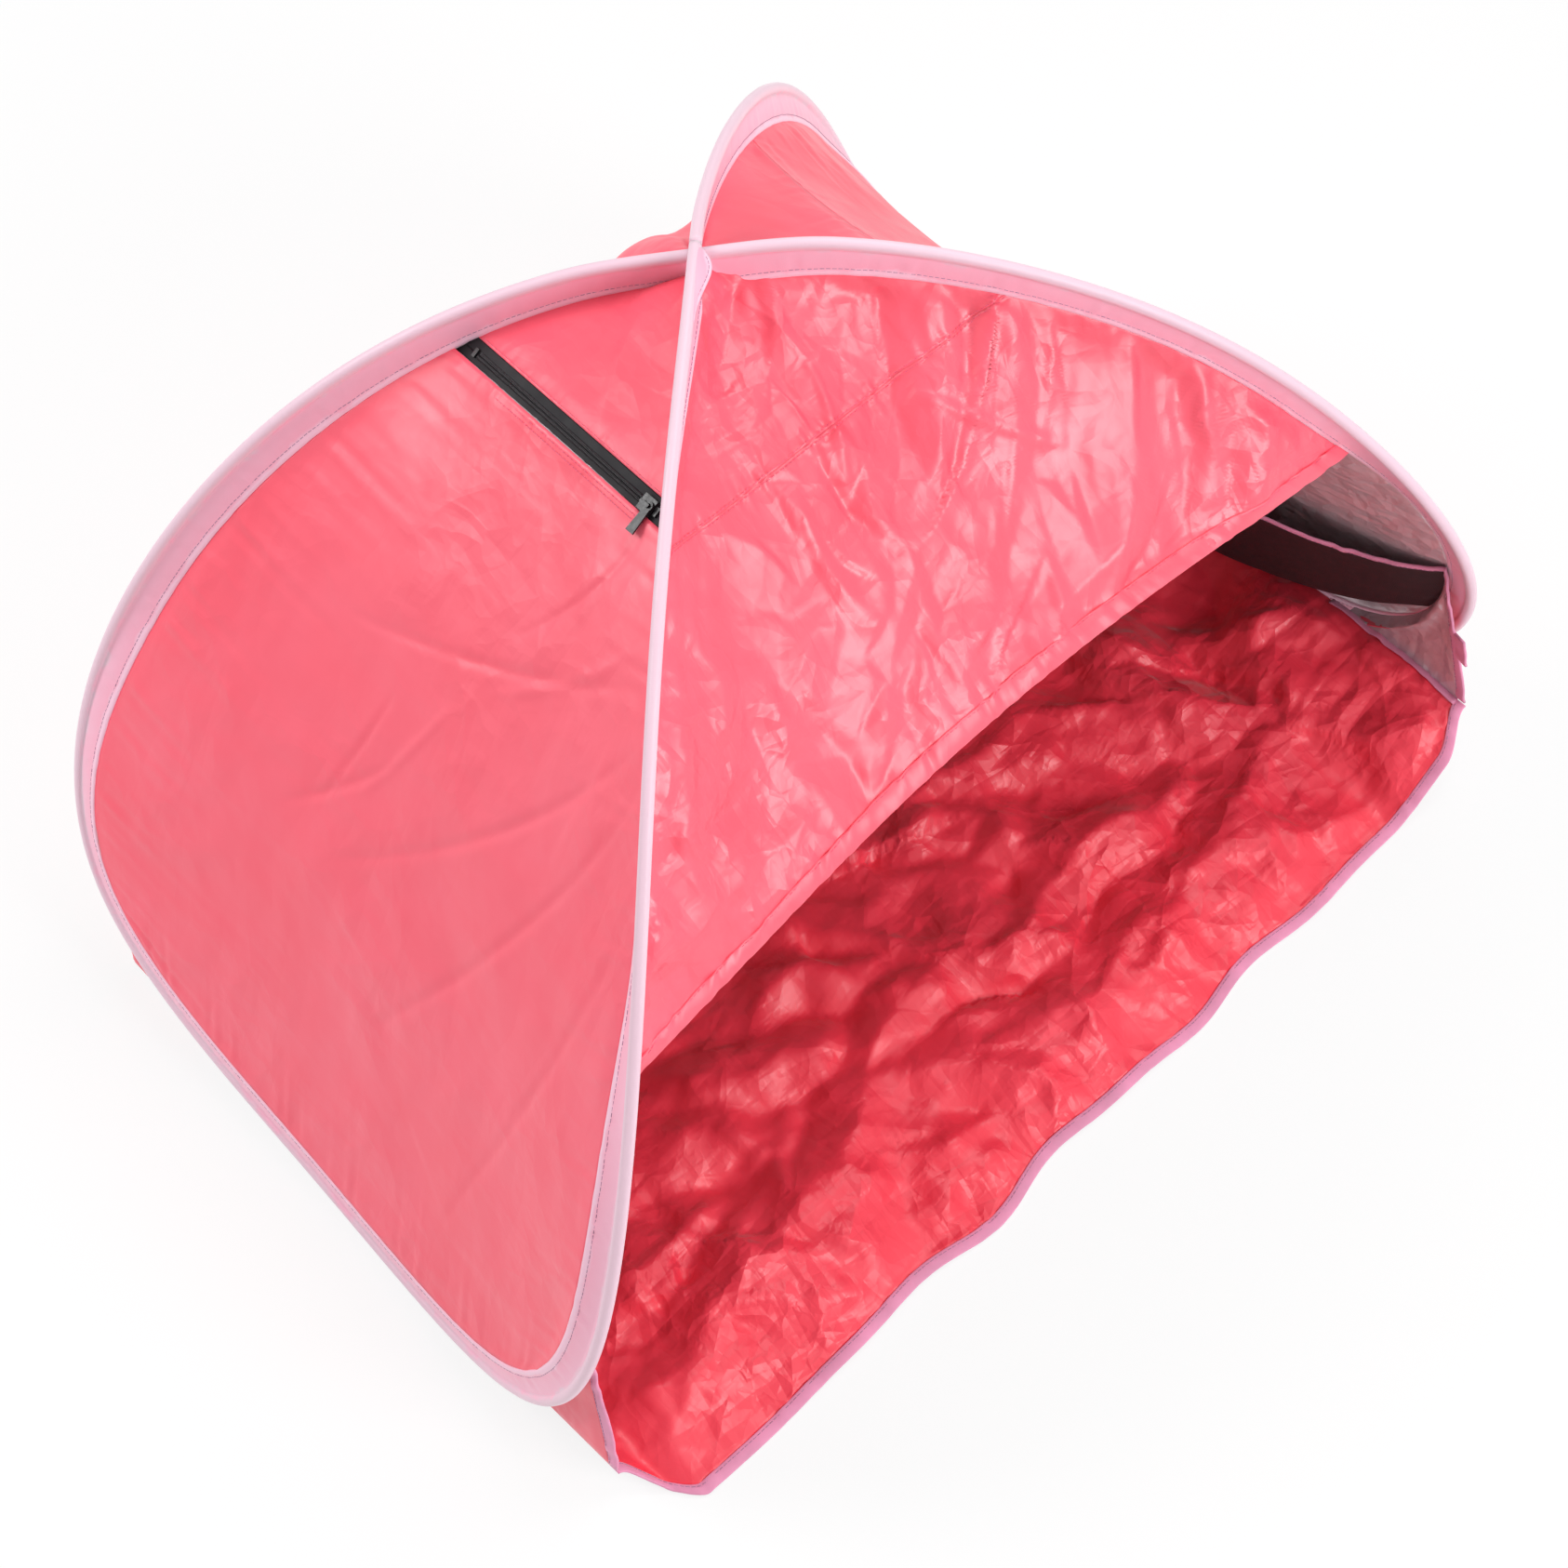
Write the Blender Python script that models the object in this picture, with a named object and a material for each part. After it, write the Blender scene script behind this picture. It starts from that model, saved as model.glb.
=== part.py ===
"""Small pop-up beach tent: one twisted spring hoop, four stretched panels and a loose floor."""
import math
import bpy
import bmesh
import numpy as np

for old in list(bpy.data.objects):
    bpy.data.objects.remove(old)

# Overall size of the hoop, between wire centres.
half_width = 0.350
hoop_depth = 0.460
rise = 0.4435

# Control points of one side of the hoop, from the crossing down the front and back up the rear.
hoop_x_shares = (0, 0.126, 0.408, 0.699, 0.972, 1.016, 0.964, 0.970, 0.761, 0.400, 0.123, 0)
hoop_y_shares = (0, -0.091, -0.275, -0.488, -0.651, -0.523, -0.108, 0.411, 0.401, 0.234, 0.094, 0)
hoop_z_shares = (1, 1.027, 0.952, 0.731, 0.327, 0.0075, -0.0015, 0.083, 0.534, 0.902, 0.970, 1)
spline_degree = 3
hoop_samples = 641
hoop_stations = 46
corner_gain = 2.2

# Heart of one lobe, the point its casing faces.
lobe_x_share = 0.97
lobe_y_share = -0.04
lobe_z_share = 0.45

# Spring wire and its joining sleeve.
wire_radius = 0.0015
wire_sides = 8
wire_gap = 0.0004
sleeve_clearance = 0.0002
sleeve_wall = 0.0005
sleeve_length = 0.012
sleeve_sides = 12
sleeve_station_share = 0.52

# Casing tape folded round the wire.
casing_radius = 0.0032
channel_radius = 0.0026
casing_reach = 0.018
casing_thickness = 0.0012
casing_sides = 10
crossing_lift = 0.0036
crossing_reach = 0.070
crossing_gap = 0.0020
taper_start = 0.012
taper_reach = 0.034
taper_rest = 0.0033
bisector_share = 0.45
front_pull_start = 0.21
front_pull_end = 0.33
rear_pull_start = 0.80
rear_pull_end = 0.68

# Cloth.
cloth_thickness = 0.0012
seam_gap = 0.0004
root_gap = 0.0015
side_columns = 12
canopy_columns = 18
seam_rows = 6
lower_rows = 10
wall_rows = 14
wall_columns = 20
relax_rounds = 260
panel_upper_rows = 6
panel_lower_rows = 15
edge_samples = 80
least_slope = 0.2
sag_power = 0.8
right_panel_sag = 0.0085
left_panel_swell = 0.0030
rear_wall_swell = 0.0190
rear_wall_arch = 0.0120
wall_arch_power = 1.2
wall_rise_power = 0.6
wall_side_power = 0.7

# Places along the hoop, from 0 at the crossing down the front to 1 at the crossing up the rear.
panel_top_share = 0.0190
panel_top_rear_share = 0.9790
zip_front_share = 0.0885
zip_rear_share = 0.9230
seam_front_share = 0.0850
seam_rear_share = 0.9010
canopy_seam_left_share = 0.0985
canopy_seam_right_share = 0.0945
slope_front_share = 0.135
slope_rear_share = 0.873
eave_left_share = 0.259
eave_right_share = 0.243
front_corner_share = 0.400
rear_corner_share = 0.640
rear_wall_foot_share = 0.672
canopy_top_share = 0.0150
rear_wall_top_share = 0.9770

# Zip across the left side panel.
zip_half_band = 0.0058
zip_end_clear = 0.0012
slit_half = 0.0006
bead_width = 0.0018
bead_thickness = 0.0020
zip_fit = 0.0003
tape_thickness = 0.0008
stop_length = 0.0022

# Slider and pull.
slider_length = 0.0090
slider_half_width = 0.0042
plate_thickness = 0.0009
plate_clear = 0.0004
web_thickness = 0.0006
post_size = 0.0012
post_spacing = 0.0046
crown_height = 0.0024
crown_bar = 0.0010
crown_overhang = 0.0002
eye_radius = 0.0024
eye_hole_radius = 0.0013
pull_length = 0.0150
pull_end_width = 0.0052
pull_thickness = 0.0010
eye_sides = 20
eye_cut_share = 0.8
eye_middle_share = 0.2

# Lining of the zipped pocket.
liner_offset = 0.0050
liner_edge_offset = 0.0017
liner_depth_share = 0.55
liner_power = 0.5

# Mesh pocket on the inner face of the right side panel.
pocket_top_row_share = 0.765
pocket_front_row_share = 0.845
pocket_tilt_share = 0.40
pocket_bottom_row_share = 0.955
pocket_gape_depth = 0.026
pocket_edge_offset = 0.0025
pocket_thickness = 0.0009
pocket_rows = 7
pocket_belly_share = 0.75
pocket_mouth_share = 0.80
pocket_power = 0.8
binding_width = 0.0065
binding_thickness = 0.0022

# Eave hem.
hem_width = 0.012
hem_thickness = 0.0020
eave_arch = 0.020
eave_arch_power = 1.3
eave_arch_back_share = 0.55
eave_arch_up_share = 0.83

# Floor.
floor_front = -0.3130
floor_corner_depth = -0.288
floor_rear = 0.128
floor_rear_bow = 0.022
floor_front_slant = 0.011
floor_corner_inset = 0.0105
floor_widest_inset = 0.0085
floor_widest_depth = -0.190
floor_rear_inset = 0.0190
floor_corner_half = half_width - floor_corner_inset
floor_widest_half = half_width - floor_widest_inset
floor_rear_half = half_width - floor_rear_inset
floor_edge_rise = 0.0180
floor_rear_rise = 0.0030
floor_rise_end_depth = -0.005
floor_fall_end_depth = 0.075
floor_edge_reach = 0.020
floor_thickness = 0.0012
floor_rest = 0.0006
floor_columns = 32
floor_rows = 26
fold_height = 0.0150
fold_reach = 0.034
fold_round = 0.004
fold_side_fade_share = 0.11
fold_end_fade_share = 0.07
flat_patch_radius = 0.036
flat_patch_reach = 0.075
corner_start_share = 0.905

# Ridges of the loose floor: each one's ends as shares of half the width and of the depth, its height as a
# share of the highest, and how gently it falls towards the front.
floor_ridge_shares = (
    (-0.857, -0.583, -0.680, -0.574, 1.00, 0.42),
    (-0.680, -0.574, -0.457, -0.541, 1.00, 0.42),
    (-0.457, -0.541, -0.249, -0.485, 1.00, 0.42),
    (-0.249, -0.485, -0.117, -0.522, 1.00, 0.42),
    (-0.117, -0.522, 0.026, -0.565, 1.00, 0.42),
    (0.026, -0.565, 0.217, -0.583, 1.00, 0.42),
    (0.217, -0.583, 0.400, -0.552, 1.00, 0.42),
    (0.400, -0.552, 0.594, -0.513, 1.00, 0.42),
    (0.594, -0.513, 0.780, -0.485, 1.00, 0.42),
    (-0.726, -0.472, -0.594, -0.480, 0.66, 1.00),
    (-0.249, -0.485, -0.020, -0.407, 0.93, 1.00),
    (-0.100, -0.272, -0.040, -0.378, 0.80, 1.00),
    (-0.266, -0.302, -0.109, -0.365, 0.80, 1.00),
    (-0.020, -0.407, 0.163, -0.465, 0.87, 1.00),
    (0.163, -0.465, 0.306, -0.426, 0.80, 1.00),
    (0.163, -0.246, 0.260, -0.328, 0.70, 1.00),
    (0.306, -0.426, 0.511, -0.433, 0.80, 1.00),
    (0.237, -0.235, 0.491, -0.228, 0.80, 1.00),
    (0.491, -0.228, 0.566, -0.350, 0.80, 1.00),
    (0.680, -0.239, 0.626, -0.354, 0.87, 1.00),
    (0.626, -0.354, 0.751, -0.474, 0.93, 1.00),
    (0.823, -0.328, 0.780, -0.465, 0.87, 1.00),
    (-0.583, -0.352, -0.420, -0.459, 0.80, 1.00),
    (-0.420, -0.459, -0.531, -0.570, 0.80, 1.00),
    (-0.460, -0.328, -0.277, -0.400, 0.80, 1.00),
    (-0.686, -0.217, -0.457, -0.109, 0.70, 1.00),
    (0.343, -0.087, 0.571, 0.043, 0.75, 1.00),
    (-0.571, 0.043, -0.314, 0.152, 0.70, 1.00),
    (0.057, 0.196, 0.314, 0.207, 0.60, 1.00),
    (0.629, -0.109, 0.814, 0.065, 0.70, 1.00),
    (-0.814, -0.326, -0.771, -0.130, 0.60, 1.00),
    (-0.171, -0.196, -0.314, -0.130, 0.55, 1.00),
    (-0.231, -0.609, 0.017, -0.674, 0.55, 1.00),
    (0.223, -0.580, 0.369, -0.676, 0.66, 1.00),
    (0.600, -0.511, 0.551, -0.670, 0.66, 1.00),
    (0.786, -0.483, 0.814, -0.652, 0.66, 1.00),
    (-0.351, -0.533, -0.231, -0.609, 0.70, 1.00),
    (-0.611, -0.663, -0.494, -0.674, 0.40, 1.00),
)

# Skirts between the hoop and the floor edge.
skirt_front_top_share = 0.340
skirt_front_low_share = 0.455
skirt_rear_low_share = 0.575
skirt_rear_high_share = 0.654
skirt_rear_end_depth = 0.114
skirt_top_inset = 0.0030
skirt_mid_inset = 0.0075
skirt_rows = 5
skirt_columns = 8
skirt_bottom_gap = 0.0018
edge_binding_width = 0.0060
binding_cut = 0.0120
tab_length = 0.020
tab_width = 0.011
tab_thickness = 0.0018
tab_clear = 0.0012
tab_down_share = 0.46

# Colours.
coral = (0.92, 0.16, 0.22, 1.0)
floor_red = (0.75, 0.03, 0.07, 1.0)
casing_pink = (0.86, 0.45, 0.62, 1.0)
binding_pink = (0.84, 0.32, 0.52, 1.0)
zip_black = (0.012, 0.010, 0.011, 1.0)
mesh_black = (0.020, 0.012, 0.014, 1.0)
lining_grey = (0.62, 0.52, 0.54, 1.0)
steel_grey = (0.55, 0.56, 0.58, 1.0)
sleeve_grey = (0.70, 0.70, 0.72, 1.0)


def unit(vectors):
    """Vectors scaled to length one."""
    vectors = np.asarray(vectors, dtype=float)
    return vectors / np.linalg.norm(vectors, axis=-1, keepdims=True)


def flat_part(vectors, along):
    """Vectors with their share along a unit direction taken out, then scaled to one."""
    dots = (vectors * along).sum(axis=-1, keepdims=True)
    return unit(vectors - dots * along)


def smooth(value, start, end):
    """Soft step from 0 at start to 1 at end."""
    share = np.clip((value - start) / (end - start), 0, 1)
    return share * share * (3 - 2 * share)


def spline_basis(count, places):
    """Weights of a clamped cubic spline at the given places from 0 to 1."""
    spans = count - spline_degree
    inner = np.linspace(0, 1, spans + 1)
    knots = np.concatenate([np.zeros(spline_degree), inner, np.ones(spline_degree)])
    table = np.zeros((len(places), count + spline_degree))
    cell = np.minimum((places * spans).astype(int), spans - 1) + spline_degree
    table[np.arange(len(places)), cell] = 1
    for order in range(1, spline_degree + 1):
        wider = np.zeros_like(table)
        for i in range(count + spline_degree - order):
            low = knots[i + order] - knots[i]
            high = knots[i + order + 1] - knots[i + 1]
            if low > 0:
                wider[:, i] += (places - knots[i]) / low * table[:, i]
            if high > 0:
                wider[:, i] += (knots[i + order + 1] - places) / high * table[:, i + 1]
        table = wider
    return table[:, :count]


hoop_outline = np.stack([
    -half_width * np.array(hoop_x_shares, dtype=float),
    hoop_depth * np.array(hoop_y_shares, dtype=float),
    rise * np.array(hoop_z_shares, dtype=float),
], axis=1)
places = np.linspace(0, 1, hoop_samples)
left_line = spline_basis(len(hoop_outline), places) @ hoop_outline
left_line[0] = left_line[-1] = (0, 0, rise)
steps = np.linalg.norm(np.diff(left_line, axis=0), axis=1)
travel = np.concatenate([[0], np.cumsum(steps)])
hoop_length = travel[-1]
crossing_distance = np.minimum(travel, hoop_length - travel)
lobe_heart = np.array([-half_width * lobe_x_share, hoop_depth * lobe_y_share, rise * lobe_z_share])


def lobe(side):
    """Wire line and casing directions of one lobe, side -1 for left and 1 for right."""
    line = left_line.copy()
    lift = crossing_lift * (1 - smooth(crossing_distance, 0, crossing_reach))
    lift_sign = np.where(places < 0.5, 1, -1)
    line[:, 2] += -side * lift_sign * lift
    along = unit(np.gradient(left_line, axis=0))
    inward = flat_part(lobe_heart - left_line, along)
    across = flat_part(np.tile(np.array([1.0, 0, 0]), (hoop_samples, 1)), along)
    front_pull = 1 - smooth(places, front_pull_start, front_pull_end)
    rear_pull = smooth(places, rear_pull_end, rear_pull_start)
    pull = bisector_share * np.maximum(front_pull, rear_pull)[:, None]
    fin = flat_part((1 - pull) * inward + pull * across, along)
    mirror = np.array([-side, 1, 1])
    line = line * mirror
    along = unit(np.gradient(line, axis=0))
    reach = taper_rest + (casing_reach - taper_rest) * smooth(
        crossing_distance, taper_start, taper_start + taper_reach)
    return {
        "line": line,
        "along": along,
        "inward": inward * mirror,
        "across": across * mirror,
        "fin": flat_part(fin * mirror, along),
        "reach": reach,
    }


lobes = {-1: lobe(-1), 1: lobe(1)}


def at(values, share):
    """Values of a sampled hoop quantity at shares along the hoop."""
    share = np.atleast_1d(np.asarray(share, dtype=float))
    return np.stack([np.interp(share, places, values[:, k]) for k in range(3)], axis=1)


def root(side, share):
    """Inner edge of the casing."""
    data = lobes[side]
    reach = np.interp(np.atleast_1d(share), places, data["reach"])[:, None]
    return at(data["line"], share) + reach * unit(at(data["fin"], share))


def side_anchor(side, share):
    """Edge line of a side panel, just off the casing."""
    return root(side, share) + root_gap * unit(at(lobes[side]["inward"], share))


def cross_anchor(side, share):
    """Edge line of the canopy or rear wall, just off the casing."""
    return root(side, share) + root_gap * unit(at(lobes[side]["across"], share))


bend = np.linalg.norm(np.gradient(unit(np.gradient(left_line, axis=0)), axis=0), axis=1)
density = np.concatenate([[0], steps / hoop_length]) + corner_gain * bend / bend.sum()
density = np.cumsum(density)
density = (density - density[0]) / (density[-1] - density[0])
stations = np.interp(np.linspace(0, 1, hoop_stations + 1), density, places)


def paint(name, colour, roughness, metallic):
    """Plain surface colour for one piece."""
    material = bpy.data.materials.new(name)
    material.use_nodes = True
    shader = material.node_tree.nodes["Principled BSDF"]
    shader.inputs["Base Color"].default_value = colour
    shader.inputs["Roughness"].default_value = roughness
    shader.inputs["Metallic"].default_value = metallic
    return material


def body(name, points, faces, colour, roughness=0.5, metallic=0, soft=True, origin=None):
    """One closed piece from points and faces, faces turned outwards."""
    points = np.asarray(points, dtype=float)
    place = np.zeros(3) if origin is None else np.asarray(origin, dtype=float)
    mesh = bpy.data.meshes.new(name)
    mesh.from_pydata([tuple(p) for p in points - place], [], faces)
    shape = bmesh.new()
    shape.from_mesh(mesh)
    bmesh.ops.recalc_face_normals(shape, faces=shape.faces)
    bmesh.ops.triangulate(shape, faces=shape.faces)
    for face in shape.faces:
        face.smooth = soft
    shape.to_mesh(mesh)
    shape.free()
    thing = bpy.data.objects.new(name, mesh)
    thing.location = tuple(place)
    bpy.context.collection.objects.link(thing)
    mesh.materials.append(paint(name, colour, roughness, metallic))
    return thing


def tube(name, centres, frames, outer, inner, colour, roughness, metallic=0):
    """Sweep of an outer outline and an optional inner one along a line, open at both ends."""
    points = []
    faces = []
    count = len(outer[0])
    rings = len(centres)
    loops = [outer] if inner is None else [outer, inner]
    for outline in loops:
        for k in range(rings):
            first, second = frames[k]
            for a, b in outline[k]:
                points.append(centres[k] + a * first + b * second)
    for layer in range(len(loops)):
        base = layer * rings * count
        for k in range(rings - 1):
            for i in range(count):
                j = (i + 1) % count
                low = base + k * count
                high = low + count
                faces.append((low + i, low + j, high + j, high + i))
    for k in (0, rings - 1):
        start = k * count
        if inner is None:
            faces.append(tuple(range(start, start + count)))
        else:
            hole = (rings + k) * count
            for i in range(count):
                j = (i + 1) % count
                faces.append((start + i, start + j, hole + j, hole + i))
    return body(name, points, faces, colour, roughness, metallic)


def grid_normals(grid):
    """Unit normals of a grid of points."""
    return unit(np.cross(np.gradient(grid, axis=0), np.gradient(grid, axis=1)))


def slab(name, grid, thickness, colour, roughness=0.45):
    """Closed sheet of even thickness round a grid of points."""
    rows, columns = grid.shape[:2]
    normals = grid_normals(grid)
    half = thickness / 2
    points = np.concatenate([(grid + half * normals).reshape(-1, 3), (grid - half * normals).reshape(-1, 3)])
    under = rows * columns
    faces = []
    for i in range(rows - 1):
        for j in range(columns - 1):
            a = i * columns + j
            b = a + 1
            c = b + columns
            d = a + columns
            faces.append((a, b, c, d))
            faces.append((under + d, under + c, under + b, under + a))
    rim = [j for j in range(columns)]
    rim += [i * columns + columns - 1 for i in range(1, rows)]
    rim += [(rows - 1) * columns + j for j in range(columns - 2, -1, -1)]
    rim += [i * columns for i in range(rows - 2, 0, -1)]
    for k in range(len(rim)):
        a = rim[k]
        b = rim[(k + 1) % len(rim)]
        faces.append((b, a, under + a, under + b))
    return body(name, points, faces, colour, roughness)


def line_between(start, end, count):
    """Evenly spaced points on a straight line."""
    share = np.linspace(0, 1, count)[:, None]
    return (1 - share) * np.asarray(start) + share * np.asarray(end)


def even(line, count):
    """A line of points spaced evenly again."""
    spans = np.linalg.norm(np.diff(line, axis=0), axis=1)
    run = np.concatenate([[0], np.cumsum(spans)])
    wanted = np.linspace(0, run[-1], count)
    return np.stack([np.interp(wanted, run, line[:, k]) for k in range(3)], axis=1)


def stretched(top, bottom, first, last):
    """Cloth stretched between four edge lines, its inside pulled even."""
    rows = len(first)
    columns = len(top)
    u = np.linspace(0, 1, columns)[None, :, None]
    v = np.linspace(0, 1, rows)[:, None, None]
    grid = (1 - v) * top[None] + v * bottom[None] + (1 - u) * first[:, None] + u * last[:, None]
    grid = grid - (1 - v) * (1 - u) * top[0] - (1 - v) * u * top[-1]
    grid = grid - v * (1 - u) * bottom[0] - v * u * bottom[-1]
    grid[0] = top
    grid[-1] = bottom
    grid[:, 0] = first
    grid[:, -1] = last
    for turn in range(relax_rounds):
        mean = grid[:-2, 1:-1] + grid[2:, 1:-1] + grid[1:-1, :-2] + grid[1:-1, 2:]
        grid[1:-1, 1:-1] = mean / 4
    return grid


# Hoop wire: both lobes in one run, its two ends meeting in the sleeve.
station_points = {side: at(lobes[side]["line"], stations) for side in (-1, 1)}
loop = np.concatenate([station_points[-1][:-1], station_points[1][:-1]])
sleeve_index = hoop_stations + int(hoop_stations * sleeve_station_share)
sleeve_start = loop[sleeve_index]
sleeve_end = loop[sleeve_index + 1]
sleeve_along = unit(sleeve_end - sleeve_start)
sleeve_centre = (sleeve_start + sleeve_end) / 2
order = [(sleeve_index + 1 + k) % len(loop) for k in range(len(loop))]
wire_line = np.concatenate([
    [sleeve_centre + wire_gap / 2 * sleeve_along],
    loop[order],
    [sleeve_centre - wire_gap / 2 * sleeve_along],
])


def carried_frames(line):
    """Side directions carried along a line without twist."""
    along = unit(np.gradient(line, axis=0))
    along[0] = unit(line[1] - line[0])
    along[-1] = unit(line[-1] - line[-2])
    first = flat_part(np.array([0, 0, 1.0]), along[0])
    frames = []
    for k in range(len(line)):
        first = flat_part(first, along[k])
        frames.append((first, np.cross(along[k], first)))
    return frames


def ring(radius, sides):
    """Round outline."""
    turn = [2 * math.pi * k / sides for k in range(sides)]
    return [(radius * math.cos(t), radius * math.sin(t)) for t in turn]


wire_frames = carried_frames(wire_line)
wire_ring = ring(wire_radius, wire_sides)
tube("frame_wire", wire_line, wire_frames, [wire_ring] * len(wire_line), None, steel_grey, 0.3, 1)

sleeve_inner = wire_radius + sleeve_clearance
sleeve_outer = sleeve_inner + sleeve_wall
sleeve_line = np.array([
    sleeve_centre - sleeve_length / 2 * sleeve_along,
    sleeve_centre + sleeve_length / 2 * sleeve_along,
])
tube("wire_sleeve", sleeve_line, carried_frames(sleeve_line), [ring(sleeve_outer, sleeve_sides)] * 2,
     [ring(sleeve_inner, sleeve_sides)] * 2, sleeve_grey, 0.35, 1)


def casing(name, side):
    """Folded casing tape: a channel round the wire with a flat double edge."""
    data = lobes[side]
    shares = stations.copy()
    line = at(data["line"], shares)
    start = unit(line[1] - line[0])
    end = unit(line[-1] - line[-2])
    line[0] = line[0] + crossing_gap / 2 * start
    line[-1] = line[-1] - crossing_gap / 2 * end
    along = unit(np.gradient(line, axis=0))
    fin = flat_part(at(data["fin"], shares), along)
    reach = np.interp(shares, places, data["reach"])
    half = casing_thickness / 2
    mouth = math.asin(half / casing_radius)
    arcs = casing_sides - 2
    turns = [mouth + (2 * math.pi - 2 * mouth) * k / (arcs - 1) for k in range(arcs)]
    inner_turns = [-mouth / 2, mouth / 2] + turns
    outer = []
    inner = []
    frames = []
    for k in range(len(shares)):
        outline = [(reach[k], -half), (reach[k], half)]
        outline += [(casing_radius * math.cos(t), casing_radius * math.sin(t)) for t in turns]
        outer.append(outline)
        inner.append([(channel_radius * math.cos(t), channel_radius * math.sin(t)) for t in inner_turns])
        frames.append((fin[k], np.cross(along[k], fin[k])))
    return tube(name, line, frames, outer, inner, casing_pink, 0.5)


casing("left_casing", -1)
casing("right_casing", 1)

# Zip line across the left panel, and a seam in the same place across the right panel.
band_shares = {-1: (zip_front_share, zip_rear_share), 1: (seam_front_share, seam_rear_share)}
band_ends = {}
for side in (-1, 1):
    band_ends[side] = side_anchor(side, band_shares[side])


def band_frame(side):
    """Directions of the band: along it, out of the cloth and up the panel."""
    front, rear = band_ends[side]
    along = unit(rear - front)
    below = (side_anchor(side, slope_front_share)[0] + side_anchor(side, slope_rear_share)[0]) / 2
    down = flat_part(below - (front + rear) / 2, along)
    out = np.cross(along, down) * -side
    if out[2] < 0:
        out = -out
    return along, unit(out), -down


def side_shares(start, end, count):
    """Shares along the hoop between two places, spaced evenly by length."""
    first = np.interp(start, places, travel)
    last = np.interp(end, places, travel)
    return np.interp(np.linspace(first, last, count), travel, places)


def panel_edge(side, far_share, band_share, away, half_band, rows):
    """Edge of a side panel from its far end up to the band, stopping half a band short."""
    line = side_anchor(side, side_shares(far_share, band_share, edge_samples))
    slope = max(np.dot(unit(line[-2] - line[-1]), away), least_slope)
    return even(cut_back(line, half_band / slope), rows)


def side_panels(side, half_band):
    """Upper and lower grids of a side panel, either side of a straight band."""
    along, out, up = band_frame(side)
    front_share, rear_share = band_shares[side]
    front_up = panel_edge(side, panel_top_share, front_share, up, half_band, panel_upper_rows)
    rear_up = panel_edge(side, panel_top_rear_share, rear_share, up, half_band, panel_upper_rows)
    upper = stretched(
        line_between(front_up[0], rear_up[0], side_columns),
        line_between(front_up[-1], rear_up[-1], side_columns),
        front_up, rear_up)
    front_down = panel_edge(side, front_corner_share, front_share, -up, half_band, panel_lower_rows)[::-1]
    rear_down = panel_edge(side, rear_corner_share, rear_share, -up, half_band, panel_lower_rows)[::-1]
    foot_shares = side_shares(front_corner_share, rear_corner_share, edge_samples)
    bottom = even(side_anchor(side, foot_shares), side_columns)
    lower = stretched(
        line_between(front_down[0], rear_down[0], side_columns), bottom, front_down, rear_down)
    return upper, lower


def cut_back(line, length):
    """A line shortened at its last end."""
    spans = np.linalg.norm(np.diff(line, axis=0), axis=1)
    run = np.concatenate([[0], np.cumsum(spans)])
    wanted = np.linspace(0, run[-1] - length, len(line))
    return np.stack([np.interp(wanted, run, line[:, k]) for k in range(3)], axis=1)


def inner_side(grid, side):
    """Unit normals of a side panel that point into the tent."""
    normals = grid_normals(grid)
    middle = normals[len(normals) // 2, side_columns // 2]
    return normals if middle[0] * side < 0 else -normals


def bulge(count, power):
    """Rise and fall from 0 over 1 back to 0."""
    return np.maximum(np.sin(np.pi * np.linspace(0, 1, count)), 0) ** power


left_upper, left_lower = side_panels(-1, zip_half_band)
right_upper, right_lower = side_panels(1, seam_gap / 2)
sag_upper = np.linspace(0, 1, len(right_upper))[:, None] * bulge(side_columns, 1)[None, :]
sag_lower = (1 - np.linspace(0, 1, len(right_lower)) ** sag_power)[:, None] * bulge(side_columns, 1)[None, :]
sag_way = unit(inner_side(right_upper, 1)[-1] + inner_side(right_lower, 1)[0])
right_upper = right_upper + right_panel_sag * sag_upper[..., None] * sag_way
right_lower = right_lower + right_panel_sag * sag_lower[..., None] * sag_way
swell_lower = bulge(len(left_lower), 1)[:, None] * bulge(side_columns, 1)[None, :]
left_lower = left_lower - left_panel_swell * swell_lower[..., None] * inner_side(left_lower, -1)
slab("left_side_upper", left_upper, cloth_thickness, coral)
slab("left_side_lower", left_lower, cloth_thickness, coral)
slab("right_side_upper", right_upper, cloth_thickness, coral)
slab("right_side_lower", right_lower, cloth_thickness, coral)


# Lining of the zipped pocket, behind the left panel.
liner_rows = int(len(left_lower) * liner_depth_share)
liner_base = left_lower[:liner_rows]
liner_depth = liner_edge_offset + (liner_offset - liner_edge_offset) * (
    bulge(liner_rows, liner_power)[:, None] * bulge(side_columns, liner_power)[None, :])
liner_grid = liner_base + liner_depth[..., None] * inner_side(left_lower, -1)[:liner_rows]
slab("left_pocket_liner", liner_grid, cloth_thickness, lining_grey, 0.35)

# Mesh pocket and its bound mouth on the inner face of the right panel.
pocket_columns = side_columns - 1
last_row = len(right_lower) - 1


def row_at(grid, place):
    """Row of a grid at a place between rows."""
    low = int(place)
    high = min(low + 1, len(grid) - 1)
    share = place - low
    return (1 - share) * grid[low] + share * grid[high]


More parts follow.
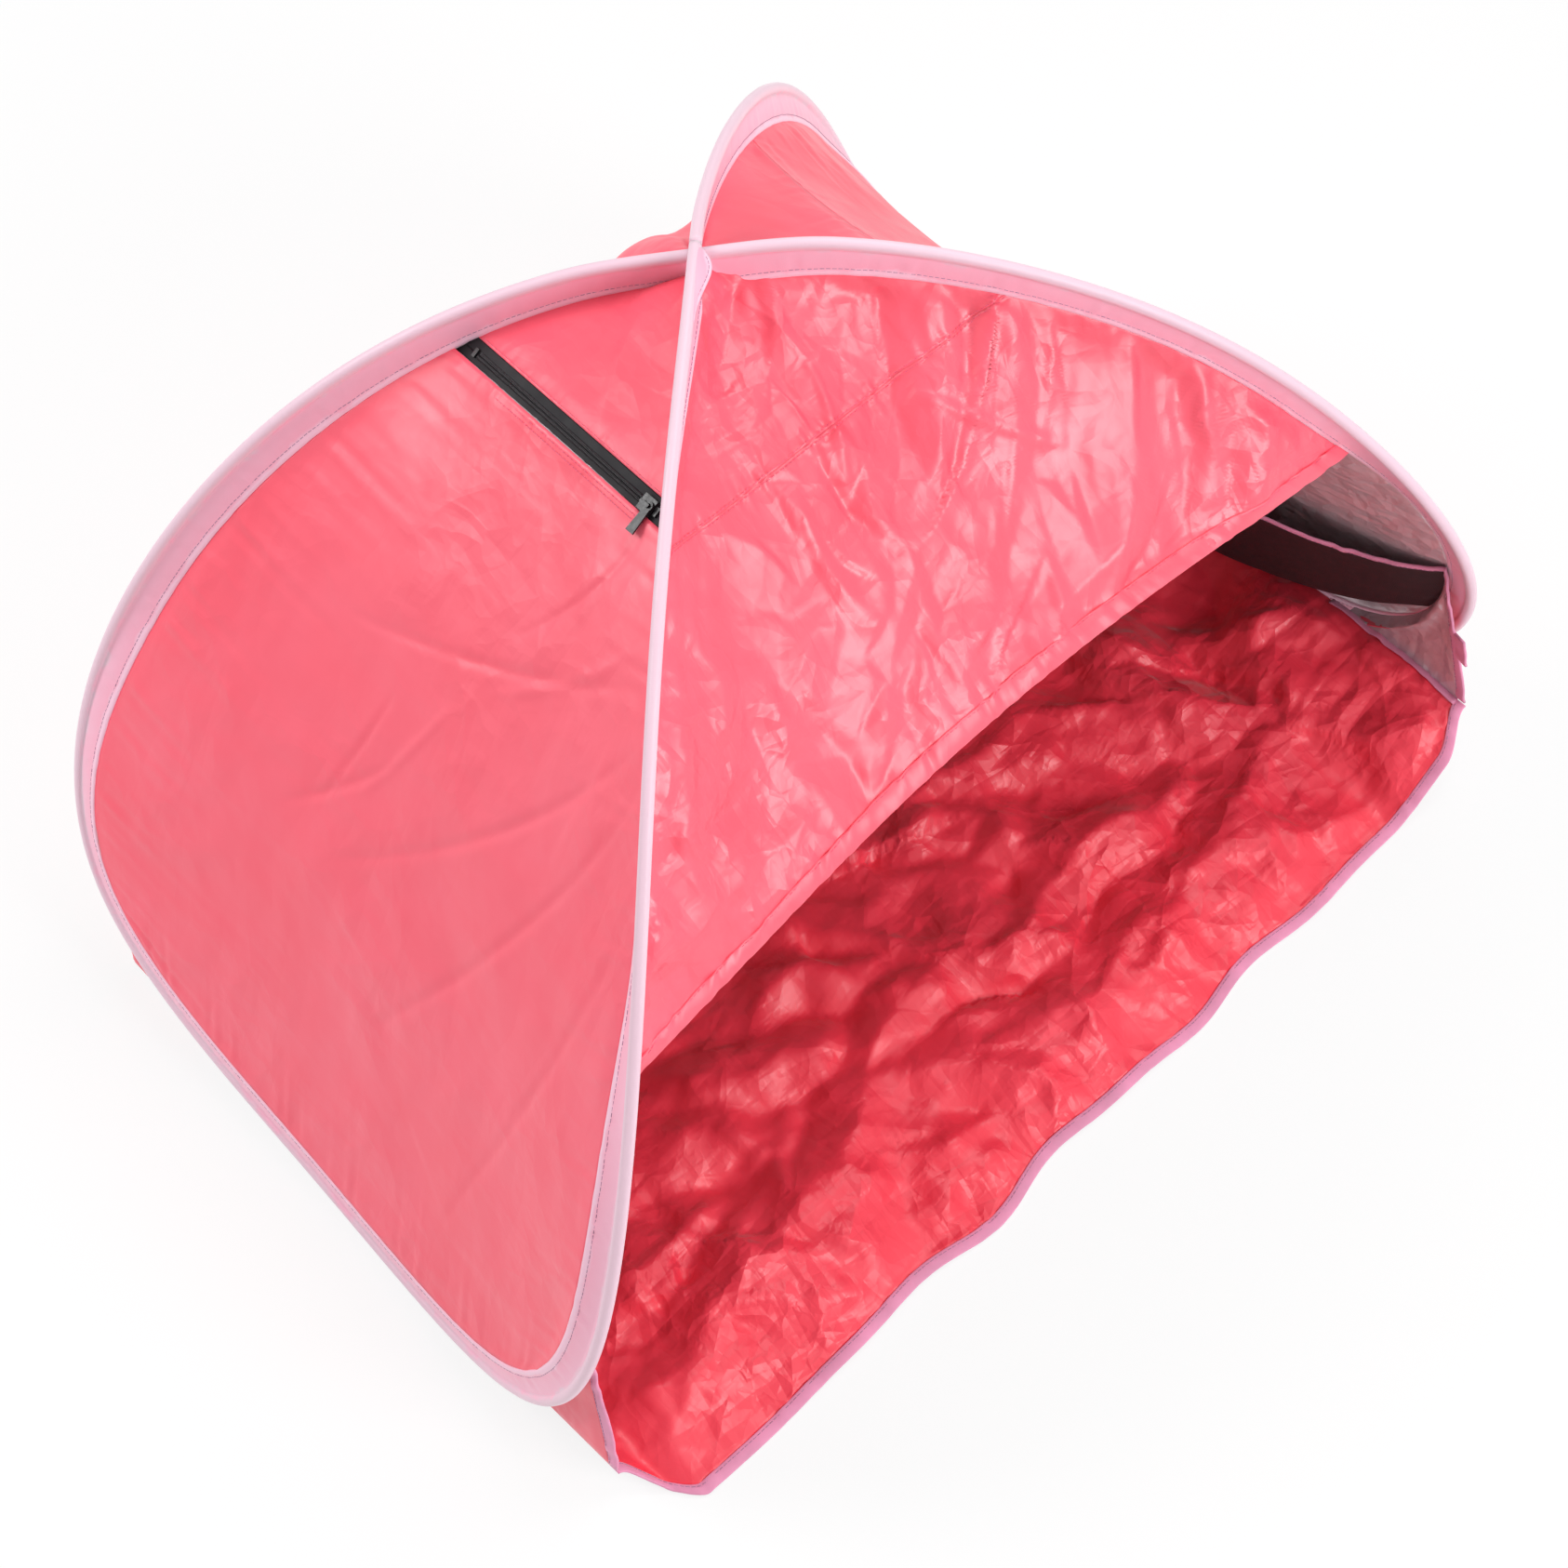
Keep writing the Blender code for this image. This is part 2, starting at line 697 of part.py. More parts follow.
right_inner = inner_side(right_lower, 1)
pocket_base = np.zeros((pocket_rows, pocket_columns, 3))
pocket_out = np.zeros((pocket_rows, pocket_columns, 3))
for j in range(pocket_columns):
    tilt = 1 - smooth(j / (pocket_columns - 1), 0, pocket_tilt_share)
    top_share = pocket_top_row_share + (pocket_front_row_share - pocket_top_row_share) * tilt
    for k, place in enumerate(np.linspace(top_share, pocket_bottom_row_share, pocket_rows)):
        pocket_base[k, j] = row_at(right_lower, place * last_row)[j]
        pocket_out[k, j] = unit(row_at(right_inner, place * last_row)[j])
drop = np.linspace(0, 1, pocket_rows)
rise_part = pocket_mouth_share + (1 - pocket_mouth_share) * smooth(drop, 0, pocket_belly_share)
fall_part = 1 - smooth(drop, pocket_belly_share, 1)
profile = rise_part * fall_part
pocket_swell = profile[:, None] * bulge(pocket_columns, pocket_power)[None, :]
pocket_depth = pocket_edge_offset + pocket_gape_depth * pocket_swell
pocket_grid = pocket_base + pocket_depth[..., None] * pocket_out
slab("mesh_pocket", pocket_grid, pocket_thickness, mesh_black, 0.8)


def strip(name, edge, toward, width, thickness, colour, gap=0, rows=2):
    """Flat strip beside an edge line, running off in the given directions."""
    toward = unit(toward)
    grid = np.stack([edge + (gap + width * k / (rows - 1)) * toward for k in range(rows)])
    return slab(name, grid, thickness, colour)


mouth_up = unit(pocket_grid[0] - pocket_grid[1])
strip("mesh_pocket_binding", pocket_grid[0], mouth_up,
      binding_width, binding_thickness, binding_pink, seam_gap)

# Front canopy in two pieces with a hemmed eave.
canopy_first_up = cross_anchor(-1, side_shares(canopy_top_share, canopy_seam_left_share, seam_rows))
canopy_last_up = cross_anchor(1, side_shares(canopy_top_share, canopy_seam_right_share, seam_rows))
canopy_first_down = cross_anchor(-1, side_shares(canopy_seam_left_share, eave_left_share, lower_rows))
canopy_last_down = cross_anchor(1, side_shares(canopy_seam_right_share, eave_right_share, lower_rows))
eave_line = line_between(canopy_first_down[-1], canopy_last_down[-1], canopy_columns)
arch = eave_arch * bulge(canopy_columns, eave_arch_power)
eave_line[:, 1] += arch * eave_arch_back_share
eave_line[:, 2] += arch * eave_arch_up_share
canopy_all = stretched(
    line_between(canopy_first_up[0], canopy_last_up[0], canopy_columns),
    eave_line,
    np.concatenate([canopy_first_up, canopy_first_down[1:]]),
    np.concatenate([canopy_last_up, canopy_last_down[1:]]))
canopy_upper = canopy_all[:seam_rows].copy()
canopy_lower = canopy_all[seam_rows - 1:].copy()
seam_step = unit(canopy_lower[1] - canopy_lower[0])
canopy_upper[-1] = canopy_upper[-1] - seam_gap / 2 * seam_step
canopy_lower[0] = canopy_lower[0] + seam_gap / 2 * seam_step
hem_up = unit(canopy_lower[-2] - canopy_lower[-1])
hem_line = canopy_lower[-1].copy()
canopy_lower[-1] = hem_line + (hem_width + seam_gap) * hem_up
slab("canopy_upper", canopy_upper, cloth_thickness, coral)
slab("canopy_lower", canopy_lower, cloth_thickness, coral)
strip("eave_hem", hem_line, hem_up, hem_width, hem_thickness, coral)

# Floor: a loose sheet with shallow upturned edges at the sides.
floor_side_y = np.linspace(floor_corner_depth, floor_rear, floor_rows)


def floor_half(y):
    """Half width of the floor at a place from front to rear."""
    return np.interp(y, [floor_corner_depth, floor_widest_depth, floor_rear],
                     [floor_corner_half, floor_widest_half, floor_rear_half])


def edge_rise(y):
    """Height of the upturned side edge at a place from front to rear."""
    fall = smooth(y, floor_rise_end_depth, floor_fall_end_depth)
    return floor_edge_rise + (floor_rear_rise - floor_edge_rise) * fall


def ridge_height(x, y):
    """Height of the floor's ridges at a place, as a share of the highest."""
    highest = 0
    for first_x, first_y, last_x, last_y, top, ease in floor_ridge_shares:
        start_x = first_x * half_width
        start_y = first_y * hoop_depth
        run_x = last_x * half_width - start_x
        run_y = last_y * hoop_depth - start_y
        share = ((x - start_x) * run_x + (y - start_y) * run_y) / (run_x * run_x + run_y * run_y)
        share = min(max(share, 0), 1)
        away_x = x - start_x - share * run_x
        away_y = y - start_y - share * run_y
        if away_y < 0:
            away_y = away_y * ease
        away = math.sqrt(away_x * away_x + away_y * away_y + fold_round * fold_round) - fold_round
        highest = max(highest, top - away / fold_reach)
    return highest


def floor_fade(x_share, y_share):
    """How far the ridges are faded out beside the floor's edges."""
    fade = min(max((1 - abs(x_share)) / fold_side_fade_share, 0), 1)
    fade = fade * min(max(y_share / fold_end_fade_share, 0), 1)
    return fade * min(max((1 - y_share) / fold_end_fade_share, 0), 1)


across_shares = np.sin(np.linspace(-1, 1, floor_columns) * math.pi / 2)
floor_grid = np.zeros((floor_rows, floor_columns, 3))
for i in range(floor_rows):
    y_share = i / (floor_rows - 1)
    for j in range(floor_columns):
        x_share = across_shares[j]
        front_y = floor_front + floor_front_slant * x_share
        front_y = front_y + (floor_corner_depth - front_y) * smooth(abs(x_share), corner_start_share, 1)
        rear_y = floor_rear + floor_rear_bow * (1 - x_share ** 2)
        y = front_y + (rear_y - front_y) * y_share
        x = floor_half(y) * x_share
        edge = smooth(abs(x), floor_half(y) - floor_edge_reach, floor_half(y))
        side_rise = edge_rise(y) * edge
        patch = smooth(math.hypot(x, y), flat_patch_radius, flat_patch_reach)
        folds = fold_height * patch * floor_fade(x_share, y_share) * ridge_height(x, y)
        floor_grid[i, j] = (x, y, floor_rest + side_rise + folds)
slab("floor_sheet", floor_grid, floor_thickness, floor_red)


def floor_side(side, y_values):
    """Upturned side edge of the floor."""
    x = side * floor_half(y_values)
    return np.stack([x, y_values, floor_rest + edge_rise(y_values)], axis=1)


front_edge = floor_grid[0].copy()
front_edge[:, 2] = np.maximum(front_edge[:, 2], binding_thickness / 2)
front_out = floor_grid[0] - floor_grid[1]
front_out[:, 2] = 0
strip("floor_binding", front_edge, front_out, binding_width, binding_thickness, binding_pink, seam_gap)

# Rear wall from the crossing down to the floor.
wall_foot = {}
for side in (-1, 1):
    strand = cross_anchor(side, side_shares(rear_wall_top_share, rear_wall_foot_share, edge_samples))
    foot = floor_side(side, np.array([floor_rear]))[0] + np.array([0, skirt_bottom_gap, 0])
    wall_foot[side] = even(np.concatenate([strand, [foot]]), wall_rows)
wall_top = line_between(wall_foot[-1][0], wall_foot[1][0], wall_columns)
wall_top[:, 2] += rear_wall_arch * bulge(wall_columns, wall_arch_power)
wall_shares = np.sin(np.linspace(-1, 1, wall_columns) * math.pi / 2)
wall_x = floor_rear_half * wall_shares
wall_y = floor_rear + floor_rear_bow * (1 - wall_shares ** 2) + skirt_bottom_gap
wall_lift = smooth(np.abs(wall_x), floor_rear_half - floor_edge_reach, floor_rear_half)
wall_z = floor_rest + edge_rise(wall_y) * wall_lift
wall_bottom = np.stack([wall_x, wall_y, wall_z], axis=1)
rear_wall = stretched(wall_top, wall_bottom, wall_foot[-1], wall_foot[1])
swell_down = bulge(wall_rows, wall_rise_power) * (1 - np.linspace(0, 1, wall_rows) ** 2)
swell = swell_down[:, None] * bulge(wall_columns, wall_side_power)[None, :]
wall_out = grid_normals(rear_wall)
wall_out = wall_out * np.sign(wall_out[wall_rows // 2, wall_columns // 2, 1])
rear_wall = rear_wall + rear_wall_swell * swell[..., None] * wall_out
slab("rear_wall", rear_wall, cloth_thickness, coral)


def skirt(name, side, top_shares, y_values):
    """Small wall from the casing edge down to the floor edge."""
    top = root(side, top_shares)
    top[:, 0] = top[:, 0] - side * skirt_top_inset
    bottom = floor_side(side, y_values)
    bottom[:, 2] += skirt_bottom_gap
    grid = []
    for k in range(skirt_rows):
        share = k / (skirt_rows - 1)
        row = (1 - share) * top + share * bottom
        wire_x = np.abs(row[:, 0])
        inset = np.minimum(wire_x, floor_half(row[:, 1]) - skirt_mid_inset * (1 - share))
        row[:, 0] = side * (wire_x if k == 0 else inset)
        grid.append(row)
    grid = np.stack(grid)
    slab(name, grid, cloth_thickness, coral)
    return grid


front_skirts = {}
for side, word in ((-1, "left"), (1, "right")):
    tops = side_shares(skirt_front_top_share, skirt_front_low_share, skirt_columns)
    front_skirts[side] = skirt("skirt_front_" + word, side, tops,
                               np.linspace(floor_corner_depth, floor_widest_depth, skirt_columns))
    tops = side_shares(skirt_rear_low_share, skirt_rear_high_share, skirt_columns)
    skirt("skirt_rear_" + word, side, tops, np.linspace(0, skirt_rear_end_depth, skirt_columns))
    edge = cut_back(front_skirts[side][:, 0], binding_cut)
    ahead = unit(front_skirts[side][:, 0] - front_skirts[side][:, 1])
    strip("skirt_binding_" + word, edge, ahead, edge_binding_width, binding_thickness, binding_pink, seam_gap)

# Small bound tab on the right skirt edge.
tab_edge = front_skirts[1][:, 0]
tab_ahead = unit(front_skirts[1][:, 0] - front_skirts[1][:, 1])
tab_place = tab_down_share * (skirt_rows - 1)
tab_start = edge_binding_width + 2 * seam_gap + tab_clear
tab_point = row_at(tab_edge, tab_place) + tab_start * row_at(tab_ahead, tab_place)
tab_down = unit(tab_edge[-1] - tab_edge[0])
tab_out = flat_part(row_at(tab_ahead, tab_place), tab_down)
tab_line = line_between(tab_point - tab_length / 2 * tab_down, tab_point + tab_length / 2 * tab_down, 3)
strip("corner_tab", tab_line, np.tile(tab_out, (3, 1)), tab_width, tab_thickness, binding_pink)

# Zip: two tapes, two beads of teeth, end stops, slider and pull.
zip_along, zip_out, zip_up = band_frame(-1)
zip_front, zip_rear = band_ends[-1]


def zip_point(run, out, up):
    """Point in the zip's own directions, run measured from the front end."""
    return zip_front + run * zip_along + out * zip_out + up * zip_up


def zip_box(name, run, out, up, colour, roughness=0.5, metallic=0, slant=0):
    """Straight bar in the zip's own directions, its ends slanted to follow the casing."""
    points = []
    for a in run:
        for b in out:
            for c in up:
                points.append(zip_point(a + slant * c, b, c))
    faces = [(0, 1, 3, 2), (4, 6, 7, 5), (0, 4, 5, 1), (2, 3, 7, 6), (0, 2, 6, 4), (1, 5, 7, 3)]
    return body(name, points, faces, colour, roughness, metallic, soft=False)


zip_length = float(np.linalg.norm(zip_rear - zip_front))
zip_start = zip_half_band + zip_end_clear
zip_end = zip_length - zip_half_band - zip_end_clear
bead_start = slit_half
bead_end = bead_start + bead_width
tape_start = bead_end + zip_fit
tape_end = zip_half_band - seam_gap
half_bead = bead_thickness / 2
half_tape = tape_thickness / 2
for sign, word in ((1, "upper"), (-1, "lower")):
    bead_span = sorted((sign * bead_start, sign * bead_end))
    tape_span = sorted((sign * tape_start, sign * tape_end))
    zip_box("zipper_bead_" + word, (zip_start + stop_length + zip_fit, zip_end - stop_length - zip_fit),
            (-half_bead, half_bead), bead_span, zip_black)
    zip_box("zipper_tape_" + word, (zip_start, zip_end), (-half_tape, half_tape), tape_span, zip_black, 0.8)

for word, start in (("front", zip_start), ("rear", zip_end - stop_length)):
    zip_box("zipper_stop_" + word, (start, start + stop_length), (-half_bead, half_bead),
            (-bead_end, bead_end), steel_grey, 0.35, 1)

slider_start = zip_start + stop_length + plate_clear
slider_middle = slider_start + slider_length / 2
plate_low = half_bead + plate_clear
plate_high = plate_low + plate_thickness
crown_low = plate_high + crown_height - crown_bar
crown_high = plate_high + crown_height


def bars(name, blocks, colour, roughness, metallic, origin):
    """One piece joined from overlapping straight blocks."""
    joined = None
    for run, out, up in blocks:
        block = zip_box(name, run, out, up, colour, roughness, metallic)
        if joined is None:
            joined = block
            continue
        union = joined.modifiers.new("join", "BOOLEAN")
        union.operation = "UNION"
        union.solver = "EXACT"
        union.object = block
        bpy.context.view_layer.update()
        shaped = bpy.data.meshes.new_from_object(joined.evaluated_get(bpy.context.evaluated_depsgraph_get()))
        joined.modifiers.remove(union)
        joined.data = shaped
        bpy.data.objects.remove(block)
    joined.name = name
    place = np.asarray(origin)
    for vertex in joined.data.vertices:
        vertex.co = tuple(np.array(vertex.co) - place)
    joined.location = tuple(place)
    return joined


front_post = slider_middle - post_spacing / 2
rear_post = slider_middle + post_spacing / 2
half_post = post_size / 2
half_web = web_thickness / 2
half_crown = half_post + crown_overhang
post_rise = (plate_low + plate_thickness / 2, crown_low + crown_bar / 2)
slider_run = (slider_start, slider_start + slider_length)
slider_across = (-slider_half_width, slider_half_width)
bars("zipper_slider", [
    (slider_run, (plate_low, plate_high), slider_across),
    (slider_run, (-plate_high, -plate_low), slider_across),
    ((slider_start + half_post, slider_start + slider_length - half_post),
     (-plate_low - plate_thickness / 2, plate_low + plate_thickness / 2), (-half_web, half_web)),
    ((front_post - half_post, front_post + half_post), post_rise, (-half_post, half_post)),
    ((rear_post - half_post, rear_post + half_post), post_rise, (-half_post, half_post)),
    ((front_post - half_crown, rear_post + half_crown), (crown_low, crown_high), (-half_crown, half_crown)),
], zip_black, 0.3, 1, zip_point(slider_middle, 0, 0))

pull_level = plate_high + (crown_low - plate_high - pull_thickness) / 2
eye_turns = [2 * math.pi * k / eye_sides for k in range(eye_sides)]
pull_outer = []
for t in eye_turns:
    a = math.cos(t)
    b = math.sin(t)
    outer_run = eye_radius * a
    outer_up = eye_radius * b
    if b < -eye_cut_share:
        outer_up = -pull_length
        outer_run = math.copysign(pull_end_width / 2, a) if abs(a) > eye_middle_share else 0
    pull_outer.append((outer_run, outer_up))
pull_inner = [(eye_hole_radius * math.cos(t), eye_hole_radius * math.sin(t)) for t in eye_turns]
pull_points = []
for level in (pull_level, pull_level + pull_thickness):
    for outline in (pull_outer, pull_inner):
        for a, c in outline:
            pull_points.append(zip_point(front_post + a, level, c))
pull_faces = []
for k in range(eye_sides):
    j = (k + 1) % eye_sides
    lower_outer = 0
    lower_inner = eye_sides
    upper_outer = 2 * eye_sides
    upper_inner = 3 * eye_sides
    pull_faces.append((lower_outer + k, lower_outer + j, lower_inner + j, lower_inner + k))
    pull_faces.append((upper_outer + k, upper_inner + k, upper_inner + j, upper_outer + j))
    pull_faces.append((lower_outer + k, upper_outer + k, upper_outer + j, lower_outer + j))
    pull_faces.append((lower_inner + k, lower_inner + j, upper_inner + j, upper_inner + k))
body("zipper_pull", pull_points, pull_faces, zip_black, 0.35, 1, soft=False,
     origin=zip_point(front_post, pull_level + pull_thickness / 2, 0))
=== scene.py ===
"""Dressed model of a small pop-up beach tent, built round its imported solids."""

import math

import bmesh
import bpy
import numpy as np
from mathutils import Matrix, Vector
from mathutils.bvhtree import BVHTree


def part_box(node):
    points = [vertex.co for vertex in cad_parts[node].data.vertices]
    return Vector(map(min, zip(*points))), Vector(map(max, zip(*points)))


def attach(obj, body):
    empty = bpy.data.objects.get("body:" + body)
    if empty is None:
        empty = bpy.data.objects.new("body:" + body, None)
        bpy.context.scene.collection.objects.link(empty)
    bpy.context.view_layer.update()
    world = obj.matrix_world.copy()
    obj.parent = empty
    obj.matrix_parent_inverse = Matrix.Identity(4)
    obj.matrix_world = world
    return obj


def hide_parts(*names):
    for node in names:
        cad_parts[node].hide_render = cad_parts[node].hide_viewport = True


bl_info = {
    "name": "Beach tent",
    "version": (1, 0, 0),
    "blender": (4, 5, 0),
    "location": "View3D > Sidebar > Beach tent",
    "description": "Dresses the packed beach tent with cloth, tapes, zip and stitching",
    "category": "Object",
}

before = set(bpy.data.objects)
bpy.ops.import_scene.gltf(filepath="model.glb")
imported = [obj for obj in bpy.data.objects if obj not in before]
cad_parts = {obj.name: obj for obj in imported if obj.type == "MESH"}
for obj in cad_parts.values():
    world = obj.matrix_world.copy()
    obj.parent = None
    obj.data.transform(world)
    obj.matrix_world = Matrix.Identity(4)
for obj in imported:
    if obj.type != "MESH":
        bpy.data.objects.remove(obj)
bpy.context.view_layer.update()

# Control points of one side of the hoop, from the crossing down the front and back up the rear.
HOOP_X_SHARES = (0, 0.126, 0.408, 0.699, 0.972, 1.016, 0.964, 0.970, 0.761, 0.400, 0.123, 0)
HOOP_Y_SHARES = (0, -0.091, -0.275, -0.488, -0.651, -0.523, -0.108, 0.411, 0.401, 0.234, 0.094, 0)
HOOP_Z_SHARES = (1, 1.027, 0.952, 0.731, 0.327, 0.0075, -0.0015, 0.083, 0.534, 0.902, 0.970, 1)
SPLINE_DEGREE = 3
HOOP_SAMPLES = 1281
STRETCH_ROUNDS = 700
STITCH_SIDES = 5
LOBE_HEART_SHARES = (0.97, -0.04, 0.45)

# Places along the hoop, from 0 at the crossing down the front to 1 at the crossing up the rear.
PANEL_TOP = 0.0045
PANEL_TOP_REAR = 0.9950
CANOPY_TOP = 0.0040
WALL_TOP = 0.9935
ZIP_ENDS = (0.0885, 0.9230)
SEAM_ENDS = (0.0850, 0.9010)
SLOPE_ENDS = (0.135, 0.873)
CANOPY_SEAM = {-1: 0.0985, 1: 0.0945}
EAVE = {-1: 0.259, 1: 0.243}
FRONT_CORNER = 0.400
REAR_CORNER = 0.640
WALL_FOOT = 0.672
SKIRT_FRONT = (0.340, 0.455)
SKIRT_REAR = (0.575, 0.6715)
CASING_END = (0.0035, 0.0310)

# The casing faces the lobe's side by this share before the first pair of places and past the second, and
# faces the lobe's middle between them.
FIN_TURN = 0.45
FIN_TURN_FRONT = (0.21, 0.33)
FIN_TURN_REAR = (0.68, 0.80)

# Gaps in metres: from the casing to the ends of zip and seam, between a casing's two ends, and from the rear
# wall's foot to the floor's rear edge.
BAND_GAP = 0.0015
CASING_GAP = 0.0020
WALL_GAP = 0.0018

# How far in metres the cloths bow out of the plane between their edges.
RIGHT_BOW = 0.0085
LEFT_BOW = 0.0030
EAVE_ARCH = 0.020
WALL_ARCH = 0.014
WALL_SWELL = 0.019
WALL_SWELL_HIGH = 0.020

# Half widths in metres of the floor at its front corners, at its middle and at its rear corners, of the part
# of its front edge that sways, and how its right front corner is lifted and how much of that pulls it in.
FLOOR_HALVES = (0.3395, 0.3415, 0.3310)
FLOOR_MIDDLE_Y = -0.190
REAR_HALF = FLOOR_HALVES[-1]
SWAY_HALF = 0.335
CORNER_LIFT = 0.024
CORNER_INSET = 0.28

# Lengths in metres of the trim, and of the stage.
SKIRT_INSET = 0.0075
BINDING_THICKNESS = 0.0018
TAB_HALF = 0.0095
COIL_MARGIN = 0.0037
COIL_RADIUS = 0.00026
STAGE_RADIUS = 9
STAGE_DROP = 0.0006

# The mesh pocket's top, its rise towards one end and its foot, as shares of the panel's height.
POCKET_TOP = 0.765
POCKET_RISE = 0.080
POCKET_FOOT = 0.968

# Width and length in metres that each sheet was cut to.
FLAT_SIZES = {
    "left_casing_tape": (0.0249, 1.670),
    "right_casing_tape": (0.0249, 1.670),
    "left_panel_upper": (0.090, 0.130),
    "left_panel_lower": (0.440, 0.450),
    "right_panel_upper": (0.120, 0.140),
    "right_panel_lower": (0.440, 0.450),
    "canopy_top_cloth": (0.240, 0.110),
    "canopy_front_cloth": (0.560, 0.260),
    "rear_wall_cloth": (0.700, 0.500),
    "floor_cloth_sheet": (0.800, 0.560),
    "left_front_skirt": (0.13, 0.10),
    "left_rear_skirt": (0.13, 0.10),
    "right_front_skirt": (0.13, 0.10),
    "right_rear_skirt": (0.13, 0.10),
    "mesh_pocket_net": (0.400, 0.110),
    "zip_pocket_lining": (0.400, 0.260),
}

# Crumples of each cloth from coarse to fine: size of a facet, height, lean and stretch.
TOP_LAYERS = ((0.060, 0.0030, 0.5, 1.6), (0.024, 0.0012, 0.2, 1.3))
PANEL_LAYERS = ((0.090, 0.0050, 0.9, 1.8), (0.034, 0.0014, 0.4, 1.4))
CANOPY_LAYERS = ((0.050, 0.0150, 0.785, 2.8), (0.026, 0.0095, 0.95, 2.2), (0.013, 0.0036, 0.5, 1.6))
WALL_LAYERS = ((0.080, 0.0100, 1.2, 2.0), (0.036, 0.0050, 0.9, 1.7), (0.016, 0.0018, 0.5, 1.3))
FLOOR_LAYERS = ((0.036, 0.0120, 0.9, 2.0), (0.020, 0.0085, 0.35, 1.7), (0.011, 0.0034, 1.3, 1.4))
SKIRT_LAYERS = ((0.024, 0.0030, 1.3, 1.8), (0.011, 0.0014, 1.0, 1.3))
POCKET_LAYERS = ((0.050, 0.0030, 1.2, 2.0), (0.022, 0.0012, 0.8, 1.5))
FACET_MIDDLE = 0.45
SEED_STEP = 7

# Puckers beside each edge of a cloth: height, length of a ripple and reach.
LEFT_TOP_PUCKERS = {"top": (0.0004, 0.010, 0.020), "bottom": (0.0003, 0.008, 0.006)}
RIGHT_TOP_PUCKERS = {"top": (0.0004, 0.010, 0.020), "bottom": (0.0005, 0.010, 0.012)}
PANEL_PUCKERS = {
    "first": (0.0005, 0.014, 0.022), "last": (0.0006, 0.016, 0.040), "bottom": (0.0005, 0.013, 0.024)}
CANOPY_PUCKERS = {
    "first": (0.0007, 0.012, 0.016), "last": (0.0006, 0.014, 0.016), "bottom": (0.0009, 0.013, 0.014)}
WALL_PUCKERS = {
    "first": (0.0007, 0.013, 0.016), "last": (0.0007, 0.013, 0.016), "bottom": (0.0008, 0.015, 0.012)}
SKIRT_PUCKERS = {"top": (0.0006, 0.011, 0.012), "bottom": (0.0006, 0.011, 0.012)}

# Single folds: start and end as shares across and down the cloth, then height and width in metres.
LEFT_PANEL_FOLDS = (
    (0.00, 0.20, 0.62, 0.62, 0.0013, 0.0026),
    (0.00, 0.24, 0.50, 0.78, 0.0012, 0.0026),
    (0.02, 0.16, 0.75, 0.34, 0.0012, 0.0028),
    (0.04, 0.12, 0.42, 0.30, -0.0010, 0.0026),
    (0.10, 0.02, 0.40, 0.22, 0.0011, 0.0024),
    (0.55, 0.45, 0.72, 0.60, 0.0012, 0.0024),
    (0.48, 0.34, 0.60, 0.52, -0.0010, 0.0022),
    (0.60, 0.38, 0.66, 0.56, 0.0011, 0.0020),
    (0.02, 0.40, 0.30, 0.92, 0.0009, 0.0026),
)
CANOPY_FOLDS = (
    (0.03, 0.30, 0.10, 0.86, 0.0022, 0.0050),
    (0.10, 0.34, 0.16, 0.80, -0.0016, 0.0050),
    (0.36, 0.42, 0.42, 0.70, 0.0026, 0.0045),
    (0.44, 0.36, 0.50, 0.62, -0.0020, 0.0040),
    (0.60, 0.24, 0.48, 0.46, 0.0018, 0.0040),
    (0.72, 0.40, 0.80, 0.66, 0.0016, 0.0040),
)

